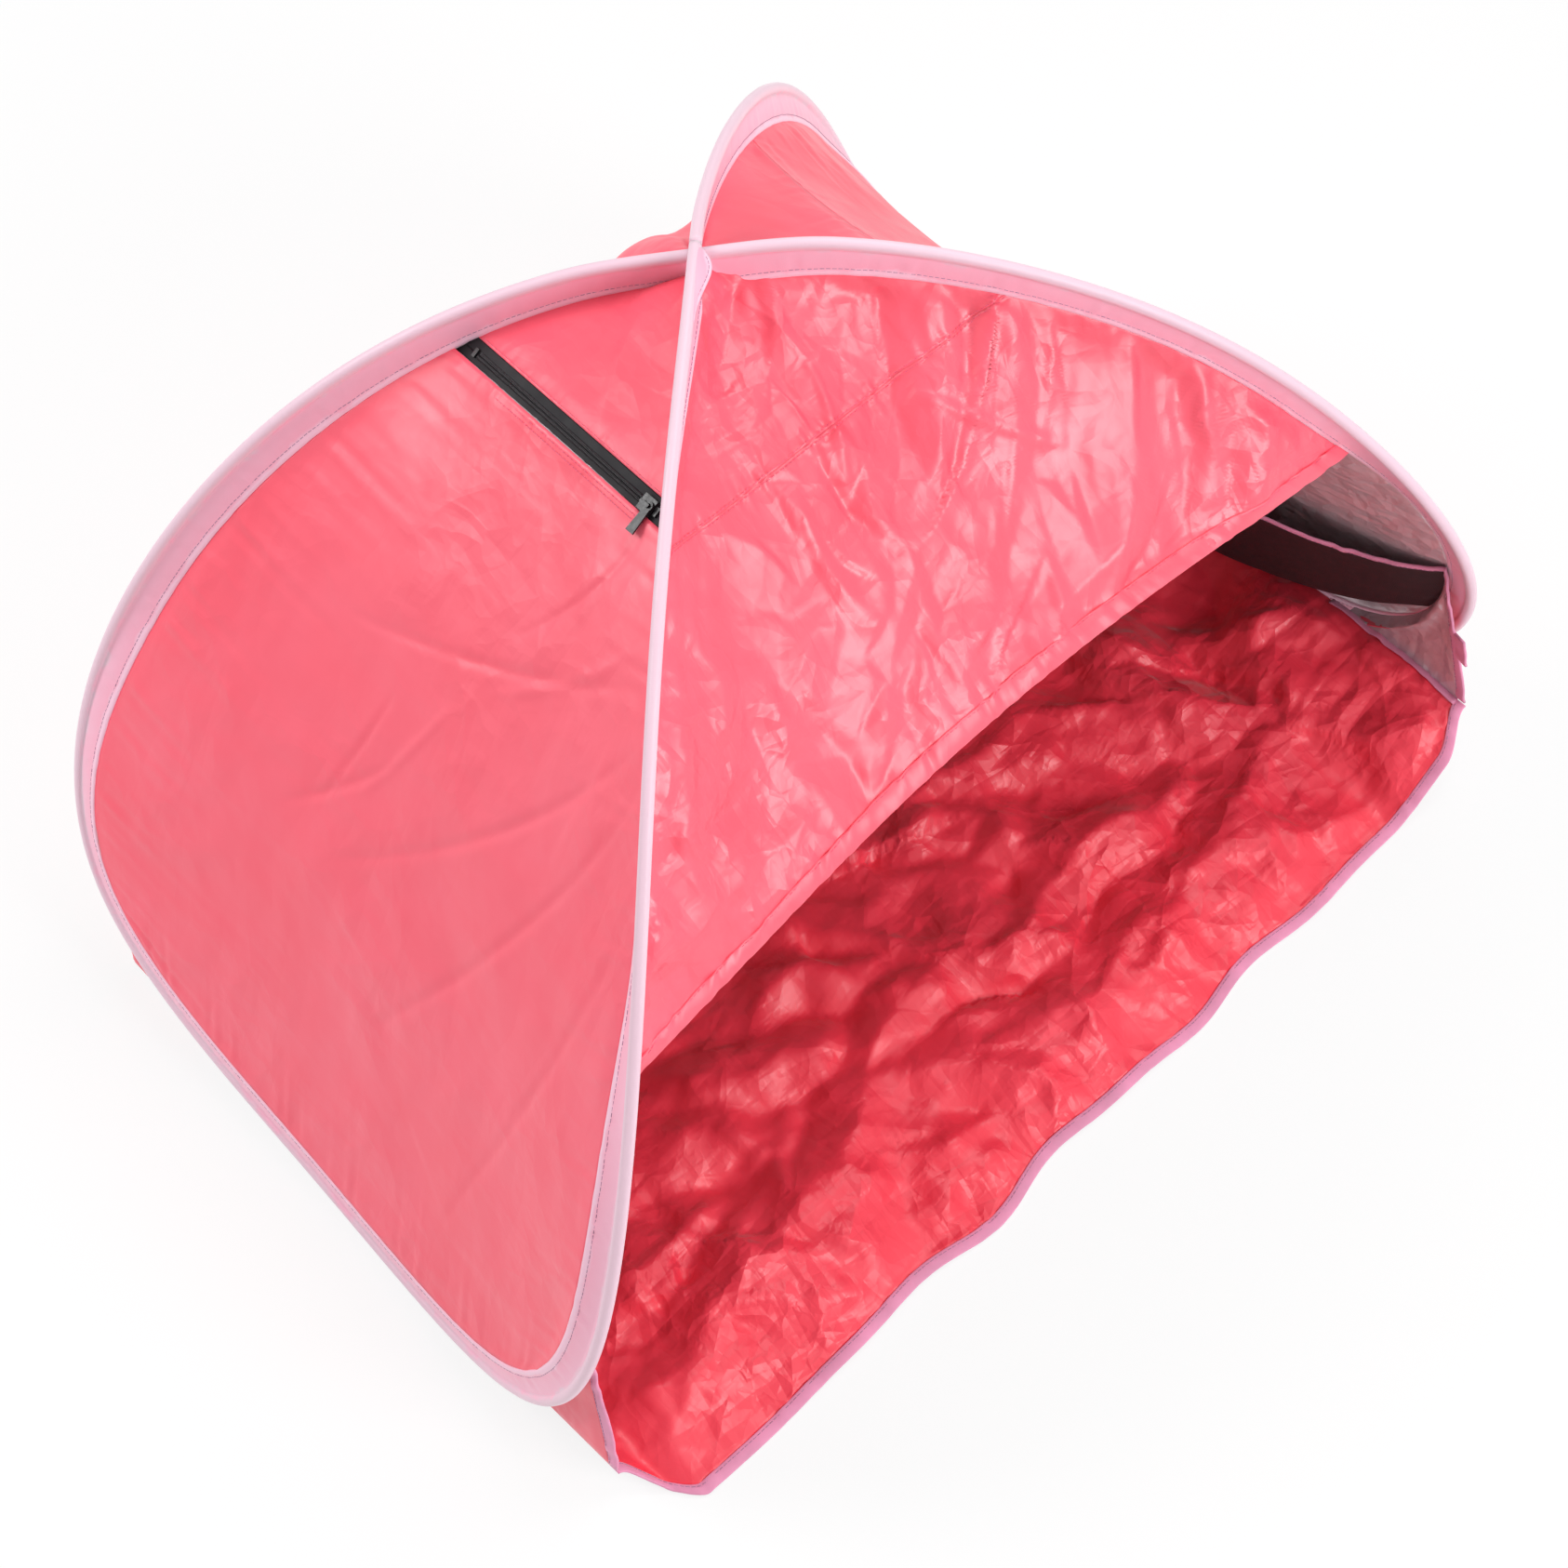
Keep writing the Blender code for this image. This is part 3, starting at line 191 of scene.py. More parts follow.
# Ridges of the loose floor: each one's ends as shares of half the width and of the depth, its height as a
# share of the highest, and how gently it falls towards the front.
FLOOR_RIDGES = (
    (-0.857, -0.583, -0.680, -0.574, 1.00, 0.42),
    (-0.680, -0.574, -0.457, -0.541, 1.00, 0.42),
    (-0.457, -0.541, -0.249, -0.485, 1.00, 0.42),
    (-0.249, -0.485, -0.117, -0.522, 1.00, 0.42),
    (-0.117, -0.522, 0.026, -0.565, 1.00, 0.42),
    (0.026, -0.565, 0.217, -0.583, 1.00, 0.42),
    (0.217, -0.583, 0.400, -0.552, 1.00, 0.42),
    (0.400, -0.552, 0.594, -0.513, 1.00, 0.42),
    (0.594, -0.513, 0.780, -0.485, 1.00, 0.42),
    (-0.726, -0.472, -0.594, -0.480, 0.66, 1.00),
    (-0.249, -0.485, -0.020, -0.407, 0.93, 1.00),
    (-0.100, -0.272, -0.040, -0.378, 0.80, 1.00),
    (-0.266, -0.302, -0.109, -0.365, 0.80, 1.00),
    (-0.020, -0.407, 0.163, -0.465, 0.87, 1.00),
    (0.163, -0.465, 0.306, -0.426, 0.80, 1.00),
    (0.163, -0.246, 0.260, -0.328, 0.70, 1.00),
    (0.306, -0.426, 0.511, -0.433, 0.80, 1.00),
    (0.237, -0.235, 0.491, -0.228, 0.80, 1.00),
    (0.491, -0.228, 0.566, -0.350, 0.80, 1.00),
    (0.680, -0.239, 0.626, -0.354, 0.87, 1.00),
    (0.626, -0.354, 0.751, -0.474, 0.93, 1.00),
    (0.823, -0.328, 0.780, -0.465, 0.87, 1.00),
    (-0.583, -0.352, -0.420, -0.459, 0.80, 1.00),
    (-0.420, -0.459, -0.531, -0.570, 0.80, 1.00),
    (-0.460, -0.328, -0.277, -0.400, 0.80, 1.00),
    (-0.686, -0.217, -0.457, -0.109, 0.70, 1.00),
    (0.343, -0.087, 0.571, 0.043, 0.75, 1.00),
    (-0.571, 0.043, -0.314, 0.152, 0.70, 1.00),
    (0.057, 0.196, 0.314, 0.207, 0.60, 1.00),
    (0.629, -0.109, 0.814, 0.065, 0.70, 1.00),
    (-0.814, -0.326, -0.771, -0.130, 0.60, 1.00),
    (-0.171, -0.196, -0.314, -0.130, 0.55, 1.00),
    (-0.231, -0.609, 0.017, -0.674, 0.55, 1.00),
    (0.223, -0.580, 0.369, -0.676, 0.66, 1.00),
    (0.600, -0.511, 0.551, -0.670, 0.66, 1.00),
    (0.786, -0.483, 0.814, -0.652, 0.66, 1.00),
    (-0.351, -0.533, -0.231, -0.609, 0.70, 1.00),
    (-0.611, -0.663, -0.494, -0.674, 0.40, 1.00),
)

# Run in metres of one band of a wave texture at scale 1, and from thread to thread of the cloth.
BAND_RUN = 0.314
WEAVE_PITCH = 0.00045

# Finish of the zip's fittings: material name, colour, roughness and how metallic it is.
BLACK_PAINT = ("black_painted_metal", (0.014, 0.013, 0.014), 0.36, 0.1)

# The camera that was solved from the photo, with its angles in degrees and its sensor in millimetres, and the
# lamps: name, place and width in metres.
CAMERA_PLACE = (-0.68233, -0.77567, 1.51673)
CAMERA_TURN = 43.68
CAMERA_TILT = 56.0
SENSOR_WIDTH = 36
LAMP_AIM = (0, -0.05, 0.15)
LAMPS = (
    ("key", (-1.30, 1.45, 1.75), 1.2),
    ("fill", (0.40, -2.10, 1.45), 1.2),
    ("top", (0.90, -0.10, 2.30), 1.4),
)

# Share of its own look that the stage's floor gives up to white where the camera sees it.
FLOOR_WHITENED = 0.80

# Grids of the side panels that the pockets are laid on, and the materials made so far.
MADE = {}
LOOKS = {}
LEFT = -1
RIGHT = 1
SIDES = ((LEFT, "left"), (RIGHT, "right"))


def metres(name, text, value):
    """A length that a user can change."""
    return bpy.props.FloatProperty(name=name, description=text, default=value, unit="LENGTH", precision=5)


def colour(name, text, value):
    """A colour that a user can change."""
    return bpy.props.FloatVectorProperty(
        name=name, description=text, default=value, subtype="COLOR", size=3, min=0, max=1)


def number(name, text, value, kind="NONE"):
    """A number that a user can change."""
    return bpy.props.FloatProperty(name=name, description=text, default=value, unit=kind)


class TentSizes(bpy.types.PropertyGroup):
    half_width: metres("Half width", "Half the hoop's width between wire centres", 0.350)
    hoop_depth: metres("Hoop depth", "Depth that the hoop's outline is drawn to", 0.460)
    rise: metres("Rise", "Height of the crossing", 0.4435)
    casing_reach: metres("Casing reach", "From the wire to the casing's stitched edge", 0.018)
    casing_radius: metres("Casing radius", "Radius of the channel round the wire", 0.0032)
    casing_thickness: metres("Casing thickness", "Two layers of tape", 0.0011)
    casing_hem: metres("Casing hem", "Width of the hem beyond the stitch line", 0.0018)
    crossing_lift: metres("Crossing lift", "Wire's offset at the crossing", 0.0036)
    crossing_reach: metres("Crossing reach", "How far the offset fades out", 0.070)
    taper_start: metres("Taper start", "Where the casing begins to widen", 0.001)
    taper_reach: metres("Taper reach", "How long it takes to widen", 0.012)
    taper_rest: metres("Taper rest", "Casing reach at the crossing", 0.0033)
    cloth: metres("Cloth", "Thickness of the cloth as drawn", 0.0005)
    zip_half_band: metres("Zip half band", "From the zip's middle to the cloth", 0.0058)
    coil_pitch: metres("Coil pitch", "From tooth to tooth", 0.00082)
    hem_width: metres("Eave hem", "Width of the folded hem", 0.012)
    binding_width: metres("Binding width", "Width of the bound edges", 0.0065)
    stitch_pitch: metres("Stitch pitch", "From stitch to stitch", 0.0030)
    stitch_length: metres("Stitch length", "Length of one stitch", 0.0021)
    stitch_radius: metres("Stitch radius", "Radius of the thread", 0.00020)
    floor_front: metres("Floor front", "Front edge of the floor", -0.3130)
    floor_slant: metres("Floor slant", "How far the front edge runs askew", 0.011)
    floor_corner_y: metres("Floor corner", "Where the sides of the floor start", -0.288)
    floor_rear: metres("Floor rear", "Rear corners of the floor", 0.128)
    floor_rear_bow: metres("Floor rear bow", "Bow of the rear edge", 0.022)
    floor_edge_rise: metres("Floor edge rise", "Height of the upturned side edge", 0.018)
    ridge_height: metres("Ridge height", "Height of the floor's highest ridge", 0.0150)
    ridge_reach: metres("Ridge reach", "How far a ridge spreads", 0.034)
    ridge_round: metres("Ridge round", "How blunt a ridge is", 0.0008)


class TentColours(bpy.types.PropertyGroup):
    coral: colour("Coral", "Outer cloth", (0.97, 0.090, 0.145))
    coral_light: colour("Coral, worn", "Outer cloth where it is lighter", (0.99, 0.125, 0.190))
    floor_red: colour("Floor red", "Inner face of the floor", (0.92, 0.035, 0.068))
    floor_light: colour("Floor red, worn", "Floor where it is lighter", (0.96, 0.052, 0.092))
    silver: colour("Silver", "Coated inner side of the cloth", (0.62, 0.50, 0.53))
    # Whitish tape over the wire: a painted highlight on the channel's rounded rim, with the wire seen through
    # the tape.
    casing_rim_highlight: colour("Casing edge", "Casing over the wire", (0.85, 0.60, 0.70))
    casing_pink: colour("Casing", "Double tape beside the wire", (0.98, 0.50, 0.64))
    casing_deep: colour("Casing, inner", "Double tape over the cloth's edge", (0.98, 0.43, 0.57))
    casing_hem: colour("Casing hem", "Folded edge of the casing", (0.98, 0.60, 0.74))
    binding: colour("Binding", "Tape on the bound edges", (0.82, 0.30, 0.48))
    thread: colour("Thread", "Sewing thread", (0.42, 0.20, 0.32))
    pink_thread: colour("Pink thread", "Thread on the coral cloth", (0.80, 0.10, 0.20))
    black: colour("Black", "Zip and mesh", (0.010, 0.008, 0.010))
    steel: colour("Steel", "Spring wire", (0.56, 0.57, 0.59))


class TentStage(bpy.types.PropertyGroup):
    key: number("Key lamp", "Power of the key lamp", 30, "POWER")
    fill: number("Fill lamp", "Power of the fill lamp", 30, "POWER")
    top: number("Top lamp", "Power of the lamp overhead", 19, "POWER")
    sky: number("Sky", "Strength of the soft light all round", 0.36)
    focal: number("Focal length", "Lens in millimetres", 70.45)


def sizes():
    """The lengths that a user can change."""
    return bpy.context.scene.beach_tent_sizes


def colours():
    """The colours that a user can change."""
    return bpy.context.scene.beach_tent_colours


def unit(vectors):
    """Vectors scaled to length one."""
    vectors = np.asarray(vectors, dtype=float)
    return vectors / np.maximum(np.linalg.norm(vectors, axis=-1, keepdims=True), 1e-12)


def flat_part(vectors, along):
    """Vectors with their share along a unit direction taken out, then scaled to one."""
    return unit(vectors - (vectors * along).sum(axis=-1, keepdims=True) * along)


def smooth(value, start, end):
    """Soft step from 0 at start to 1 at end."""
    share = np.clip((value - start) / (end - start), 0, 1)
    return share * share * (3 - 2 * share)


def bulge(count, power):
    """Rise and fall from 0 over 1 back to 0."""
    return np.maximum(np.sin(np.pi * np.linspace(0, 1, count)), 0) ** power


def spline_basis(count, places):
    """Weights of a clamped cubic spline at the given places from 0 to 1."""
    spans = count - SPLINE_DEGREE
    knots = np.concatenate([np.zeros(SPLINE_DEGREE), np.linspace(0, 1, spans + 1), np.ones(SPLINE_DEGREE)])
    table = np.zeros((len(places), count + SPLINE_DEGREE))
    cell = np.minimum((places * spans).astype(int), spans - 1) + SPLINE_DEGREE
    table[np.arange(len(places)), cell] = 1
    for order in range(1, SPLINE_DEGREE + 1):
        wider = np.zeros_like(table)
        for i in range(count + SPLINE_DEGREE - order):
            low = knots[i + order] - knots[i]
            high = knots[i + order + 1] - knots[i + 1]
            if low > 0:
                wider[:, i] += (places - knots[i]) / low * table[:, i]
            if high > 0:
                wider[:, i] += (knots[i + order + 1] - places) / high * table[:, i + 1]
        table = wider
    return table[:, :count]


def cubic_weights(count, wanted):
    """Weights that carry values at even steps to finer even steps on a natural cubic."""
    level = np.eye(count)
    turn = np.zeros((count, count))
    for i in range(1, count - 1):
        level[i, i - 1:i + 2] = (1, 4, 1)
        turn[i, i - 1:i + 2] = (6, -12, 6)
    second = np.linalg.solve(level, turn)
    place = np.linspace(0, count - 1, wanted)
    low = np.minimum(place.astype(int), count - 2)
    t = place - low
    weights = np.zeros((wanted, count))
    rows = np.arange(wanted)
    weights[rows, low] += 1 - t
    weights[rows, low + 1] += t
    weights += (((1 - t) ** 3 - (1 - t)) / 6)[:, None] * second[low]
    weights += ((t ** 3 - t) / 6)[:, None] * second[low + 1]
    return weights


def finer(grid, rows, columns):
    """A grid of points carried smoothly to more rows and columns."""
    down = cubic_weights(grid.shape[0], rows)
    over = cubic_weights(grid.shape[1], columns)
    return np.einsum("ri,cj,ijk->rck", down, over, grid)


def run_of(line):
    """How far along a line each of its points lies."""
    return np.concatenate([[0], np.cumsum(np.linalg.norm(np.diff(line, axis=0), axis=1))])


def read_at(values, run, wanted):
    """Points or directions that are known at some runs, read at other ones."""
    return np.stack([np.interp(wanted, run, values[:, k]) for k in range(3)], axis=1)


def even(line, count):
    """A line of points spaced evenly again."""
    run = run_of(line)
    return read_at(line, run, np.linspace(0, run[-1], count))


def cut_back(line, length):
    """A line shortened at its last end."""
    run = run_of(line)
    return read_at(line, run, np.linspace(0, run[-1] - length, len(line)))


def line_between(start, end, count):
    """A straight line of points."""
    share = np.linspace(0, 1, count)[:, None]
    return (1 - share) * np.asarray(start) + share * np.asarray(end)


def grid_normals(grid):
    """Unit normals of a grid of points."""
    return unit(np.cross(np.gradient(grid, axis=0), np.gradient(grid, axis=1)))


def stretched(top, bottom, first, last):
    """Cloth stretched between four edge lines, its inside pulled even."""
    u = np.linspace(0, 1, len(top))[None, :, None]
    v = np.linspace(0, 1, len(first))[:, None, None]
    grid = (1 - v) * top[None] + v * bottom[None] + (1 - u) * first[:, None] + u * last[:, None]
    grid = grid - (1 - v) * (1 - u) * top[0] - (1 - v) * u * top[-1]
    grid = grid - v * (1 - u) * bottom[0] - v * u * bottom[-1]
    grid[0], grid[-1], grid[:, 0], grid[:, -1] = top, bottom, first, last
    for _ in range(STRETCH_ROUNDS):
        mean = grid[:-2, 1:-1] + grid[2:, 1:-1] + grid[1:-1, :-2] + grid[1:-1, 2:]
        grid[1:-1, 1:-1] = mean / 4
    return grid


class Hoop:
    """The hoop's curve, and the edge lines of the cloth that hangs from it."""

    def __init__(self, size):
        self.size = size
        outline = np.stack([
            -size.half_width * np.array(HOOP_X_SHARES, dtype=float),
            size.hoop_depth * np.array(HOOP_Y_SHARES, dtype=float),
            size.rise * np.array(HOOP_Z_SHARES, dtype=float)], axis=1)
        self.places = np.linspace(0, 1, HOOP_SAMPLES)
        line = spline_basis(len(outline), self.places) @ outline
        line[0] = line[-1] = (0, 0, size.rise)
        self.left_line = line
        self.travel = run_of(line)
        self.length = self.travel[-1]
        self.to_crossing = np.minimum(self.travel, self.length - self.travel)
        self.heart = np.array(LOBE_HEART_SHARES) * (-size.half_width, size.hoop_depth, size.rise)
        self.lobes = {side: self.lobe(side) for side in (LEFT, RIGHT)}

    def lobe(self, side):
        """Wire line and casing directions of one lobe."""
        size = self.size
        line = self.left_line.copy()
        lift = size.crossing_lift * (1 - smooth(self.to_crossing, 0, size.crossing_reach))
        line[:, 2] += -side * np.where(self.places < 0.5, 1, -1) * lift
        along = unit(np.gradient(self.left_line, axis=0))
        inward = flat_part(self.heart - self.left_line, along)
        across = flat_part(np.tile(np.array([1.0, 0, 0]), (HOOP_SAMPLES, 1)), along)
        front_turn = 1 - smooth(self.places, *FIN_TURN_FRONT)
        rear_turn = smooth(self.places, *FIN_TURN_REAR)
        turn = FIN_TURN * np.maximum(front_turn, rear_turn)[:, None]
        fin = flat_part((1 - turn) * inward + turn * across, along)
        mirror = np.array([-side, 1, 1])
        line = line * mirror
        along = unit(np.gradient(line, axis=0))
        widen = smooth(self.to_crossing, size.taper_start, size.taper_start + size.taper_reach)
        return {
            "line": line,
            "inward": inward * mirror,
            "fin": flat_part(fin * mirror, along),
            "reach": size.taper_rest + (size.casing_reach - size.taper_rest) * widen,
        }

    def at(self, values, share):
        """Points or directions of a lobe at some places along the hoop."""
        return read_at(values, self.places, np.atleast_1d(np.asarray(share, dtype=float)))

    def root(self, side, share):
        """Inner edge of the casing."""
        data = self.lobes[side]
        reach = np.interp(np.atleast_1d(share), self.places, data["reach"])[:, None]
        return self.at(data["line"], share) + reach * unit(self.at(data["fin"], share))

    def shares(self, start, end, count):
        """Shares along the hoop between two places, spaced evenly by length."""
        first = np.interp(start, self.places, self.travel)
        last = np.interp(end, self.places, self.travel)
        return np.interp(np.linspace(first, last, count), self.travel, self.places)

    def edge(self, side, start, end, count):
        """Edge line of cloth that is sewn into the casing."""
        return self.root(side, self.shares(start, end, count))

    def band(self, side):
        """Ends and directions of the zip, or of the seam in its place: along, out and up."""
        ends = ZIP_ENDS if side == LEFT else SEAM_ENDS
        inward = self.lobes[side]["inward"]
        front, rear = self.root(side, ends) + BAND_GAP * unit(self.at(inward, ends))
        below = self.root(side, SLOPE_ENDS) + BAND_GAP * unit(self.at(inward, SLOPE_ENDS))
        along = unit(rear - front)
        down = flat_part(below.mean(axis=0) - (front + rear) / 2, along)
        out = np.cross(along, down)
        out = unit(out if out[2] > 0 else -out)
        return front, rear, along, out, -down


def panel_edge(hoop, side, far, near, away, half_band, rows):
    """Edge of a side panel from its far end up to the band, stopping half a band short."""
    line = hoop.edge(side, far, near, 160)
    slope = max(np.dot(unit(line[-2] - line[-1]), away), 0.2)
    return even(cut_back(line, half_band / slope), rows)


def inner_side(grid, side):
    """Unit normals of a side panel that point into the tent."""
    normals = grid_normals(grid)
    middle = normals[len(normals) // 2, grid.shape[1] // 2]
    return normals if middle[0] * side < 0 else -normals


def side_panels(hoop, side, half_band):
    """Upper and lower grids of a side panel, either side of its zip or seam."""
    columns = 22
    up = hoop.band(side)[-1]
    near = ZIP_ENDS if side == LEFT else SEAM_ENDS
    front_up = panel_edge(hoop, side, PANEL_TOP, near[0], up, half_band, 9)
    rear_up = panel_edge(hoop, side, PANEL_TOP_REAR, near[1], up, half_band, 9)
    top = line_between(front_up[0], rear_up[0], columns)
    upper = stretched(top, line_between(front_up[-1], rear_up[-1], columns), front_up, rear_up)
    front_down = panel_edge(hoop, side, FRONT_CORNER, near[0], -up, half_band, 26)[::-1]
    rear_down = panel_edge(hoop, side, REAR_CORNER, near[1], -up, half_band, 26)[::-1]
    foot = hoop.edge(side, FRONT_CORNER, REAR_CORNER, columns)
    lower = stretched(line_between(front_down[0], rear_down[0], columns), foot, front_down, rear_down)
    if side == RIGHT:
        over = bulge(columns, 1)[None, :, None]
        way = unit(inner_side(upper, RIGHT)[-1] + inner_side(lower, RIGHT)[0])
        upper = upper + RIGHT_BOW * np.linspace(0, 1, len(upper))[:, None, None] * over * way
        fall = (1 - np.linspace(0, 1, len(lower)) ** 0.8)[:, None, None]
        lower = lower + RIGHT_BOW * fall * over * way
    else:
        swell = bulge(len(lower), 1)[:, None, None] * bulge(columns, 1)[None, :, None]
        lower = lower - LEFT_BOW * swell * inner_side(lower, LEFT)
    return upper, lower


def cloth_frame(grid):
    """Run of the cloth across and down in metres, and the distance to each of its four edges."""
    over = np.linalg.norm(np.diff(grid, axis=1), axis=2)
    down = np.linalg.norm(np.diff(grid, axis=0), axis=2)
    across = np.concatenate([np.zeros((len(grid), 1)), np.cumsum(over, axis=1)], axis=1)
    along = np.concatenate([np.zeros((1, grid.shape[1])), np.cumsum(down, axis=0)], axis=0)
    middle = across[:, grid.shape[1] // 2][:, None]
    edges = {"first": across, "last": across[:, -1:] - across, "top": along, "bottom": along[-1:] - along}
    return across - middle, along, edges


def facets(u, v, cell, seed, lean, stretch):
    """Heights from 0 to 1 of a crumpled surface: flat facets between random points."""
    chance = np.random.default_rng(seed)
    turn_u = u * math.cos(lean) + v * math.sin(lean)
    turn_v = (v * math.cos(lean) - u * math.sin(lean)) / stretch
    bend = cell * 0.35
    a = (turn_u + bend * np.sin(turn_v / cell * 1.3 + seed)) / cell
    b = (turn_v + bend * np.sin(turn_u / cell * 1.1 + 2 * seed)) / cell
    low = np.array([a.min() - 2, b.min() - 2])
    count = np.array([a.max() - low[0] + 3, b.max() - low[1] + 3]).astype(int)
    spots = chance.uniform(-0.42, 0.42, (count[0], count[1], 2))
    heights = chance.uniform(0, 1, (count[0], count[1])) ** 1.2
    flips = chance.integers(0, 2, (count[0], count[1]))
    points = []
    for i in range(count[0]):
        for j in range(count[1]):
            points.append((i + spots[i, j, 0], j + spots[i, j, 1], heights[i, j]))
    sides = []
    for i in range(count[0] - 1):
        for j in range(count[1] - 1):
            p = i * count[1] + j
            q = p + count[1]
            if flips[i, j]:
                sides += [(p, q, q + 1), (p, q + 1, p + 1)]
            else:
                sides += [(p, q, p + 1), (q, q + 1, p + 1)]
    tree = BVHTree.FromPolygons(points, sides, all_triangles=True)
    down = Vector((0, 0, -1))
    found = np.zeros(a.size)
    for k, (x, y) in enumerate(zip((a - low[0]).ravel(), (b - low[1]).ravel())):
        hit = tree.ray_cast(Vector((x, y, 3)), down)[0]
        found[k] = hit.z if hit else 0.5
    return found.reshape(a.shape)


def ripple(run, length, seed):
    """Uneven ripples along a line."""
    first = np.sin(2 * math.pi * run / length + seed)
    second = np.sin(2 * math.pi * run / (length * 0.61) + 2.1 * seed)
    swell = 0.55 + 0.45 * np.sin(2 * math.pi * run / (length * 4.3) + 0.7 * seed)
    return (first + 0.6 * second) * swell


def crumpled(grid, layers, seed, puckers=None, folds=(), rest=0.010):
    """A grid pushed along its normals by crumples, puckers beside its seams and single folds."""
    u, v, edges = cloth_frame(grid)
    near = np.minimum(np.minimum(edges["first"], edges["last"]), np.minimum(edges["top"], edges["bottom"]))
    fade = smooth(near, 0, rest)
    push = np.zeros(u.shape)
    for k, (cell, height, lean, stretch) in enumerate(layers):
        crumple = facets(u, v, cell, seed + SEED_STEP * k, lean, stretch) - FACET_MIDDLE
        push += height * crumple * fade
    for name, (height, length, reach) in (puckers or {}).items():
        run = v if name in ("first", "last") else u
        fall = np.exp(-edges[name] / reach) * smooth(edges[name], 0, reach * 0.35)
        push += height * ripple(run, length, seed + len(name)) * fall
    rows, columns = u.shape
    s = np.linspace(0, 1, columns)[None, :]
    t = np.linspace(0, 1, rows)[:, None]
    wide = edges["first"][:, -1].mean()
    tall = edges["top"][-1].mean()
    for s0, t0, s1, t1, height, width in folds:
        way = np.array([(s1 - s0) * wide, (t1 - t0) * tall])
        length = np.linalg.norm(way)
        way = way / length
        x = (s - s0) * wide
        y = (t - t0) * tall
        run = (x * way[0] + y * way[1]) / length
        bow = 0.012 * length * np.sin(math.pi * np.clip(run, 0, 1))
        off = -x * way[1] + y * way[0] - bow
        taper = np.sin(math.pi * np.clip(run, 0, 1)) ** 0.6
        push += height * taper * np.exp(-(off / width) ** 2) * smooth(near, 0, 0.012)
    return grid + push[..., None] * grid_normals(grid)


def sampled(grid, rows, columns):
    """A dense grid read at fewer, evenly spaced rows and columns."""
    down = np.linspace(0, len(grid) - 1, rows)
    over = np.linspace(0, grid.shape[1] - 1, columns)
    i = np.minimum(down.astype(int), len(grid) - 2)
    j = np.minimum(over.astype(int), grid.shape[1] - 2)
    t = (down - i)[:, None, None]
    r = (over - j)[None, :, None]
    first = (1 - t) * grid[i][:, j] + t * grid[i + 1][:, j]
    second = (1 - t) * grid[i][:, j + 1] + t * grid[i + 1][:, j + 1]
    return (1 - r) * first + r * second


def placed(name, mesh):
    """An object for a mesh, linked to the scene."""
    piece = bpy.data.objects.new(name, mesh)
    bpy.context.scene.collection.objects.link(piece)
    return piece


def mesh_piece(name, grid, materials, uv=None, closed=False, out=None):
    """A sheet piece: an even mesh grid whose corners are laid on the given points."""
    rows, columns = grid.shape[:2]
    shape = bmesh.new()
    bmesh.ops.create_grid(shape, x_segments=columns - 1, y_segments=rows - 1, size=1, calc_uvs=True)
    mesh = bpy.data.meshes.new(name)
    shape.to_mesh(mesh)
    shape.free()
    if len(mesh.vertices) != rows * columns:
        raise RuntimeError(f"{name}: the grid has {len(mesh.vertices)} corners, not {rows * columns}")
    spots = np.zeros(len(mesh.vertices) * 3)
    mesh.vertices.foreach_get("co", spots)
    spots = spots.reshape(-1, 3)
    column = np.rint((spots[:, 0] + 1) / 2 * (columns - 1)).astype(int)
    row = np.rint((spots[:, 1] + 1) / 2 * (rows - 1)).astype(int)
    if uv is None:
        uv = np.stack(cloth_frame(grid)[:2], axis=2)
    corner = np.zeros(len(mesh.loops), dtype=int)
    mesh.loops.foreach_get("vertex_index", corner)
    layer = mesh.uv_layers[0] if mesh.uv_layers else mesh.uv_layers.new(name="UVMap")
    layer.data.foreach_set("uv", uv[row[corner], column[corner]].ravel())
    mesh.vertices.foreach_set("co", grid[row, column].ravel())
    if closed:
        shape = bmesh.new()
        shape.from_mesh(mesh)
        bmesh.ops.remove_doubles(shape, verts=shape.verts, dist=1e-6)
        rim = [e for e in shape.edges if e.is_boundary]
        if rim:
            bmesh.ops.holes_fill(shape, edges=rim, sides=0)
        bmesh.ops.recalc_face_normals(shape, faces=shape.faces)
        shape.to_mesh(mesh)
        shape.free()
    elif out is not None:
        mesh.update()
        facing = np.zeros(len(mesh.polygons) * 3)
        mesh.polygons.foreach_get("normal", facing)
        if np.dot(facing.reshape(-1, 3).mean(axis=0), out) < 0:
            mesh.flip_normals()
    mesh.polygons.foreach_set("use_smooth", np.ones(len(mesh.polygons), dtype=bool))
    for material in materials:
        mesh.materials.append(material)
    mesh.update()
    return placed(name, mesh)


def thicken(piece, thickness, offset=0):
    """Gives a sheet its wall, the inner side in the piece's second material."""
    wall = piece.modifiers.new("wall", "SOLIDIFY")
    wall.thickness = thickness
    wall.offset = offset
    if len(piece.data.materials) > 1:
        wall.material_offset = 1


def dress(piece, slot, *nodes):
    """Puts a finished piece on the tent in place of its solids."""
    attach(piece, "tent")
    if nodes:
        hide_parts(*nodes)


def flat_area(grid):
    """Area of a grid of points."""
    a = grid[1:, 1:] - grid[:-1, :-1]
    b = grid[1:, :-1] - grid[:-1, 1:]
    return float(np.linalg.norm(np.cross(a, b), axis=2).sum() / 2)


def cloth_piece(name, grid, materials, out, node, slot="coral_cloth",
                thickness=None):
    """A sheet of cloth with its wall and its place on the tent."""
    piece = mesh_piece(name, grid, materials, out=np.array(out, dtype=float))
    thicken(piece, thickness or sizes().cloth)
    dress(piece, slot, node)
    width, length = FLAT_SIZES[name]
    min(flat_area(grid), width * length)


